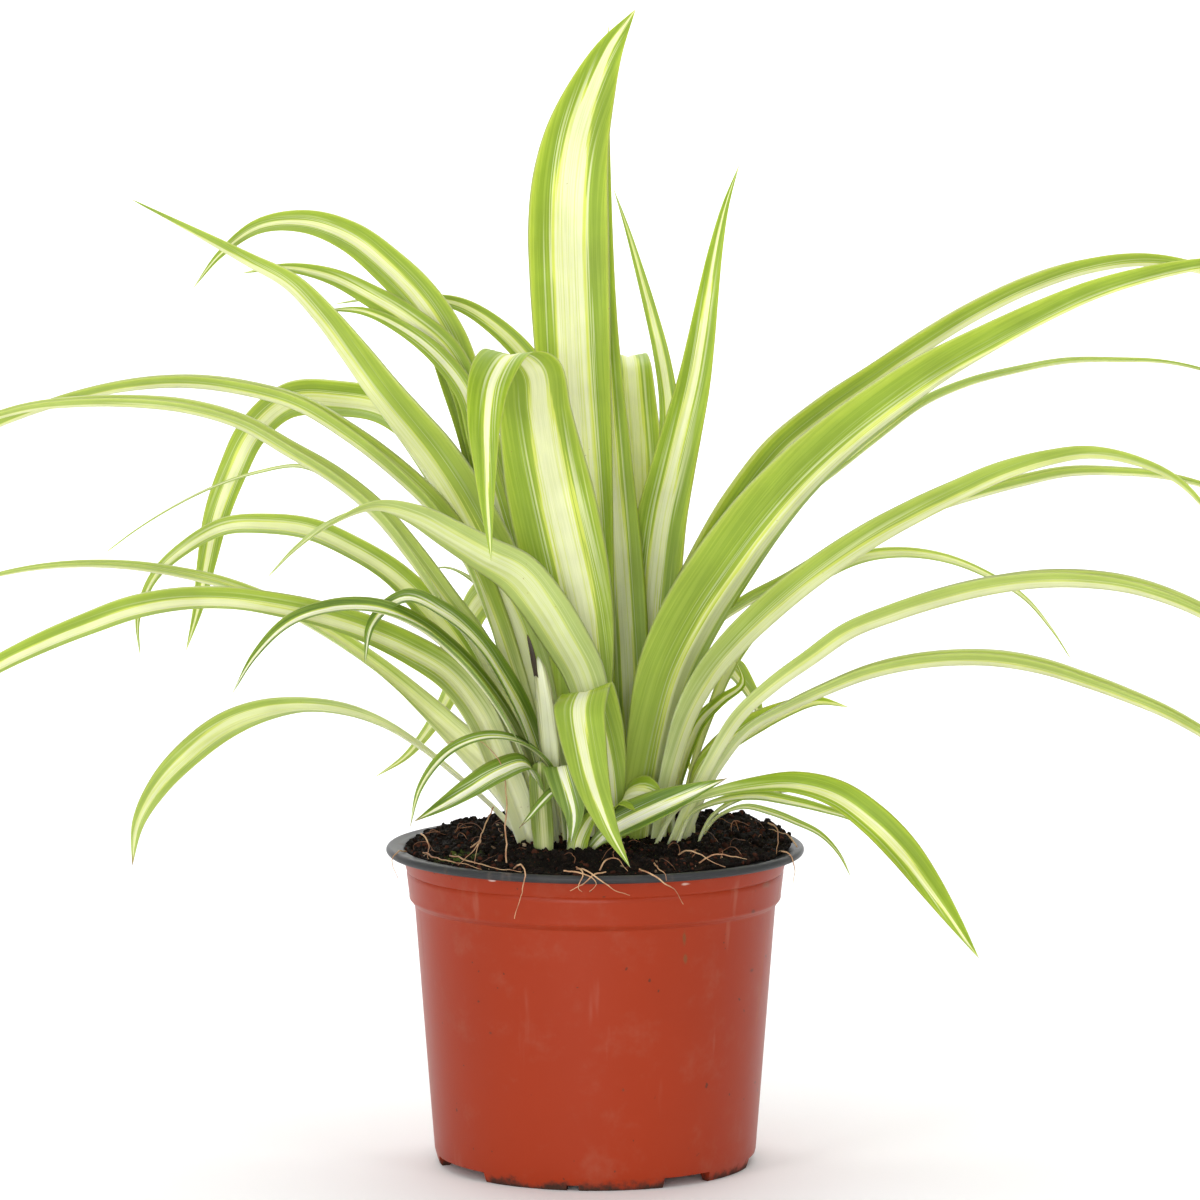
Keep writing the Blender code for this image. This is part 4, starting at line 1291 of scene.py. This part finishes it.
def crumb_tree():
    """Scatters irregular crumbs over the soil, where it looks up."""
    inputs = {"Density": "Float", "Largest": "Float", "Seed": "Int"}
    tree, w, given = geometry_tree("soil_crumbs", inputs)
    up = w.fields("ShaderNodeSeparateXYZ", [w.field("GeometryNodeInputNormal")])["Z"]
    down = w.field("FunctionNodeCompare", {0: up, 1: STEEPEST}, operation="LESS_THAN")
    feeds = {"Geometry": given["Geometry"], "Selection": down}
    ground = w.field("GeometryNodeDeleteGeometry", feeds, domain="FACE")
    feeds = {"Mesh": ground, "Density": given["Density"], "Seed": given["Seed"]}
    points = w.field("GeometryNodeDistributePointsOnFaces", feeds)
    tinted = w.stored(points, "tint", random_value(w, 0.0, 1.0, 3))
    lump = w.field("GeometryNodeMeshIcoSphere", {"Radius": 1.0, "Subdivisions": 1})
    turn = random_value(w, (0.0,) * 3, (math.tau,) * 3, 5)
    size = (random_value(w, 0.0, 1.0, 7) ** RARITY * 0.8 + 0.2) * given["Largest"]
    uneven = random_value(w, (0.6, 0.6, 0.5), (1.5, 1.1, 0.9), 9)
    feeds = {"Points": tinted, "Instance": lump, "Rotation": turn, "Scale": w.scaled(uneven, size)}
    crumbs = w.field("GeometryNodeInstanceOnPoints", feeds)
    real = w.field("GeometryNodeRealizeInstances", [crumbs])
    finish_tree(w, shaken(w, real, 1700.0, 0.0, given["Largest"] * 0.55), given["Material"])
    return tree


def root_tree():
    """Turns curves into fine tapering roots that kink a little along their way."""
    tree, w, given = geometry_tree("fine_roots", {"Radius": "Float", "Kink": "Float"})
    strand = w.field("GeometryNodeResampleCurve", {"Curve": given["Geometry"], "Count": ROOT_POINTS})
    strand = shaken(w, strand, 170.0, 2.0, given["Kink"])
    along = w.field("GeometryNodeSplineParameter", output="Factor")
    feeds = {"Curve": strand, "Radius": w.step(along, 0.2, 1.0, 1.0, 0.35) * given["Radius"]}
    strand = w.field("GeometryNodeSetCurveRadius", feeds)
    ring = w.field("GeometryNodeCurvePrimitiveCircle", {"Resolution": ROOT_SIDES, "Radius": 1.0})
    radius = w.field("GeometryNodeInputRadius")
    feeds = {"Curve": strand, "Profile Curve": ring, "Scale": radius, "Fill Caps": True}
    finish_tree(w, w.field("GeometryNodeCurveToMesh", feeds), given["Material"])
    return tree


ROOT_LENGTHS = (3, 11)
ROOT_HUMPS = (0.3, 2.6)
ROOT_KNOTS = 5


def scattered_roots(count, reach, relief, draws):
    """Short bent routes that lie on the soil, start to end, in metres."""
    routes = []
    for _ in range(count):
        angle, far = draws.uniform(0, math.tau), reach * math.sqrt(draws.uniform(0.02, 0.98))
        x, y = far * math.cos(angle), far * math.sin(angle)
        turn, size = draws.uniform(0, math.tau), draws.uniform(*ROOT_LENGTHS) * MM
        hump = draws.uniform(*ROOT_HUMPS) * MM
        route = []
        for i in range(ROOT_KNOTS):
            t = i / (ROOT_KNOTS - 1)
            px = x + (t - 0.5) * size * math.cos(turn + 0.8 * (t - 0.5))
            py = y + (t - 0.5) * size * math.sin(turn + 1.3 * (t - 0.5))
            shrink = min(1.0, reach / max(TOUCHING, math.hypot(px, py)))
            px, py = px * shrink, py * shrink
            route.append((px, py, soil_level(px, py, relief) + hump * math.sin(math.pi * t) + 0.2 * MM))
        routes.append(route)
    return routes


# Roots that hang over the lip or stand in the soil, listed one by one, in millimetres.
LOOSE_ROOTS = (
    (
        (-25.4, -41, 94.5), (-25.7, -34, 104.4), (-25.5, -31, 115),
        (-28, -30, 123), (-34.5, -30, 128.6), (-43, -30, 127.6),
    ),
    ((-29.4, -24, 108.1), (-31.1, -28, 104.1), (-32.9, -36, 100.7), (-34.5, -44, 94.6)),
    ((-50.3, -16, 99.2), (-49, -20, 98.8), (-48, -24, 96.5), (-48.1, -30, 93.8)),
    (
        (-23, -52, 94.2), (-21.8, -57, 96.4), (-20.4, -60.5, 96.5), (-19.7, -62.2, 94.5),
        (-20.4, -60.2, 90), (-21.6, -56.5, 86), (-23, -54.6, 80.3),
    ),
    ((-4.8, -56, 94.8), (-2.5, -60, 95), (0.8, -62.4, 93), (4.8, -60.6, 90), (9.8, -58, 87.7)),
    ((-9, -58, 94.7), (-3.1, -61, 94.2), (0.3, -62.4, 91.8), (-1.4, -59.5, 89)),
    ((-5, -56, 95.4), (-3.4, -61.5, 94), (-4.7, -62.3, 91.2), (-3.4, -59.5, 89)),
    ((3, -58, 94.5), (0, -61, 94.1), (-3, -62.2, 92), (-7, -60.6, 89.5)),
    ((12.6, -56, 94.8), (15.4, -60, 94.4), (19.3, -61, 91.7), (22.7, -57.5, 88.9), (25.2, -54, 84.3)),
    ((16.9, -50, 95.5), (17.9, -56, 95), (19.9, -59.6, 93.7), (20.4, -59.6, 92)),
    ((50.5, -8, 101.2), (52.3, -14, 100.6), (53, -20, 97.9), (52.3, -24, 94)),
    ((52, -20, 94.5), (56, -22, 93.9), (57.6, -22.6, 90.5), (57.2, -22, 84.9)),
    ((-55, -12, 93.2), (-57.1, -18, 94), (-58.6, -21, 92), (-57.2, -22, 86.8)),
    ((-49.9, -20, 94.2), (-44.1, -34, 94.4), (-38.1, -43, 94.6), (-32.3, -50, 93.9)),
    ((-41.9, -30, 95), (-35.4, -42, 95), (-27.6, -52, 94.2), (-21, -56, 94.2)),
    ((1.4, -54, 94.2), (3.1, -53, 96.8), (5.9, -50, 97.1), (7.6, -54, 95.6), (9.2, -58, 94.4)),
    ((29.6, -42, 94.5), (34.2, -42, 97.1), (39.3, -42, 96.5), (43.3, -39, 95)),
    ((59, -8, 93.9), (57.4, -6, 96.2), (54.5, 0, 97.1), (51, 6, 97)),
    ((24, -36, 96), (27, -42, 98), (33, -47, 96), (37, -47, 94)),
    ((-36, -22, 96), (-33, -28, 99), (-35, -36, 97), (-39, -42, 94)),
)


def curves_from(name, routes):
    """A curve object with a smooth strand through each route."""
    data = bpy.data.curves.new(name, "CURVE")
    data.dimensions = "3D"
    for route in routes:
        spline = data.splines.new("BEZIER")
        spline.bezier_points.add(len(route) - 1)
        for knot, place in zip(spline.bezier_points, route):
            knot.co = place
            knot.handle_left_type = knot.handle_right_type = "AUTO"
    return add_object(name, data)


CRUMB_SEED = 11
ROOT_SEED = 7


class SPIDER_PLANT_OT_soil(bpy.types.Operator):
    """Makes the lumpy soil, the crumbs on it and the fine roots"""

    bl_idname = "spider_plant.soil"
    bl_label = "Potting soil"

    def execute(self, context):
        settings = context.scene.spider_soil
        group = earth_group()
        soil = add_object("soil_surface", soil_mesh(settings.relief), earth_material(settings.earth, group))
        crumbs = add_object("soil_crumbs", soil.data.copy())
        values = {
            "Density": settings.crumb_density,
            "Largest": settings.crumb_size,
            "Seed": CRUMB_SEED,
            "Material": crumb_material(settings.earth, group),
        }
        with_tree(crumbs, crumb_tree(), values)
        count = int(settings.root_density * math.pi * SOIL_REACH**2)
        scattered = scattered_roots(count, SOIL_REACH - 1 * MM, settings.relief, random.Random(ROOT_SEED))
        loose = [[Vector(place) * MM for place in route] for route in LOOSE_ROOTS]
        moist = mottled_material("fine_roots", FINE_ROOT_DARK, settings.root)
        dry = mottled_material("dry_roots", DRY_ROOT_DARK, settings.dry_root)
        tree = root_tree()
        strands = []
        for name, routes, gain, kink, finish in (
            ("surface_root_lines", scattered, 1.0, 1.2 * MM, moist),
            ("loose_root_lines", loose, 1.8, 1.6 * MM, dry),
        ):
            values = {"Radius": gain * settings.root_radius, "Kink": kink, "Material": finish}
            strands.append(with_tree(curves_from(name, routes), tree, values))
        made_plain(crumbs)
        for name, mesh in zip(("surface_roots", "loose_roots"), made_meshes(strands)):
            mesh.shade_smooth()
            seated(add_object(name, mesh), "soil")
        for lines in strands:
            bpy.data.objects.remove(lines)
        seated(soil, "soil", "soil")
        seated(crumbs, "soil")
        return {"FINISHED"}


class SPIDER_PLANT_OT_rootstocks(bpy.types.Operator):
    """Gives the crowns in the soil their skin"""

    bl_idname = "spider_plant.rootstocks"
    bl_label = "Rootstocks"

    def execute(self, context):
        looks = {"scale": 300.0, "detail": 3.0, "edges": (0.35, 0.65), "rough": (0.6, 0.9)}
        skin = mottled_material("rootstock_skin", SKIN_DARK, SKIN_LIGHT, **looks)
        for name, node in frame["nodes"].items():
            if name.startswith("rootstock"):
                node.data.materials.clear()
                node.data.materials.append(skin)
        return {"FINISHED"}


# Stage


CAMERA_PLACE = (0.0014, -1.70, 0.349)
CAMERA_PITCH = 6.16
FOCAL_LENGTH = 175.95
SENSOR_WIDTH = 36
# Each light's place, what it faces, its width and height, and its share of the key light's power.
LIGHTS = {
    "key_light": ((-1.1, -1.3, 0.9), (0, 0, 0.12), (0.5, 1.2), 1),
    "fill_light": ((1.2, -1.2, 0.7), (0, 0, 0.12), (0.4, 1.0), 0.6),
    "front_light": ((-0.25, -1.65, 0.2), (0, 0, 0.14), (0.9, 0.5), 1.5),
    "top_light": ((0.0, -0.1, 1.7), (0, 0, 0.1), (1.4, 1.0), 0.55),
    "backdrop_light": ((0.0, 1.3, 1.9), (0, 2.6, 0.1), (3.0, 1.0), 9),
}
SWEEP_SPAN = 6
SWEEP_START = 2.0
SWEEP_BEND = 1.0
BEND_POINTS = 14


def add_light(name, place, target, size, power):
    data = bpy.data.lights.new(name, "AREA")
    data.shape = "RECTANGLE"
    data.size, data.size_y = size
    data.energy = power
    light = add_object(name, data)
    light.location = place
    light.rotation_euler = (Vector(target) - Vector(place)).to_track_quat("-Z", "Y").to_euler()


def sweep_mesh():
    """A floor that bends up into a backdrop."""
    shape = bmesh.new()
    bend = np.linspace(0.1, math.pi / 2, BEND_POINTS)
    outline = [(-SWEEP_SPAN, 0), (SWEEP_START, 0)]
    outline += [(SWEEP_START + SWEEP_BEND * math.sin(a), SWEEP_BEND * (1 - math.cos(a))) for a in bend]
    outline += [(SWEEP_START + SWEEP_BEND, SWEEP_SPAN)]
    left, right = ([shape.verts.new((x, y, z)) for y, z in outline] for x in (-SWEEP_SPAN, SWEEP_SPAN))
    for i in range(len(outline) - 1):
        shape.faces.new((left[i], right[i], right[i + 1], left[i + 1]))
    mesh = mesh_of("studio_sweep", shape)
    mesh.shade_smooth()
    return mesh


class SPIDER_PLANT_OT_stage(bpy.types.Operator):
    """Sets out the floor, the lights and the camera"""

    bl_idname = "spider_plant.stage"
    bl_label = "Studio"

    def execute(self, context):
        settings = context.scene.spider_stage
        paper, w, shader = new_material("studio_paper")
        w.fill(shader, {"Base Color": settings.floor, "Roughness": 0.9})
        add_object("studio_sweep", sweep_mesh(), paper)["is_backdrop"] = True
        world = bpy.data.worlds.new("studio")
        world.use_nodes = True
        sky = world.node_tree.nodes["Background"]
        Wiring(world.node_tree).fill(sky, {"Color": (1, 1, 1), "Strength": settings.daylight})
        for name, (place, target, size, part) in LIGHTS.items():
            add_light(name, place, target, size, part * settings.key)
        data = bpy.data.cameras.new("camera")
        data.lens = FOCAL_LENGTH
        data.sensor_width = SENSOR_WIDTH
        camera = add_object("camera", data)
        camera.location = CAMERA_PLACE
        camera.rotation_euler = (math.radians(90 - CAMERA_PITCH), 0, 0)
        scene = context.scene
        scene.world = world
        scene.camera = camera
        scene.view_settings.view_transform = "Standard"
        scene.view_settings.look = "None"
        return {"FINISHED"}


class SPIDER_PLANT_PT_panel(bpy.types.Panel):
    """Lists what dresses the plant"""

    bl_idname = "SPIDER_PLANT_PT_panel"
    bl_label = "Spider plant"
    bl_space_type = "VIEW_3D"
    bl_region_type = "UI"
    bl_category = "Spider plant"

    def draw(self, context):
        for operator, settings in STEPS:
            box = self.layout.box()
            box.operator(operator.bl_idname)
            group = getattr(context.scene, settings, None) if settings else None
            for key in group.__annotations__ if group else ():
                box.prop(group, key)


SETTINGS = {
    "spider_blades": BladeSettings,
    "spider_pot": PotSettings,
    "spider_soil": SoilSettings,
    "spider_stage": StageSettings,
}
STEPS = (
    (SPIDER_PLANT_OT_stage, "spider_stage"),
    (SPIDER_PLANT_OT_pot, "spider_pot"),
    (SPIDER_PLANT_OT_soil, "spider_soil"),
    (SPIDER_PLANT_OT_rootstocks, None),
    (SPIDER_PLANT_OT_leaves, "spider_blades"),
)
CLASSES = (*SETTINGS.values(), *(operator for operator, _ in STEPS), SPIDER_PLANT_PT_panel)


def register():
    for item in CLASSES:
        bpy.utils.register_class(item)
    for name, group in SETTINGS.items():
        setattr(bpy.types.Scene, name, bpy.props.PointerProperty(type=group))


def unregister():
    for name in SETTINGS:
        delattr(bpy.types.Scene, name)
    for item in reversed(CLASSES):
        bpy.utils.unregister_class(item)


def main():
    """Registers the add-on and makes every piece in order."""
    register()
    bpy.ops.spider_plant.stage()
    bpy.ops.spider_plant.pot()
    bpy.ops.spider_plant.soil()
    bpy.ops.spider_plant.rootstocks()
    bpy.ops.spider_plant.leaves()
    boxes = {"cad": cad_bounds, "visual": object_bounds()}
    {name: [list(corner) for corner in box] for name, box in boxes.items()}


if __name__ == "__main__":
    main()
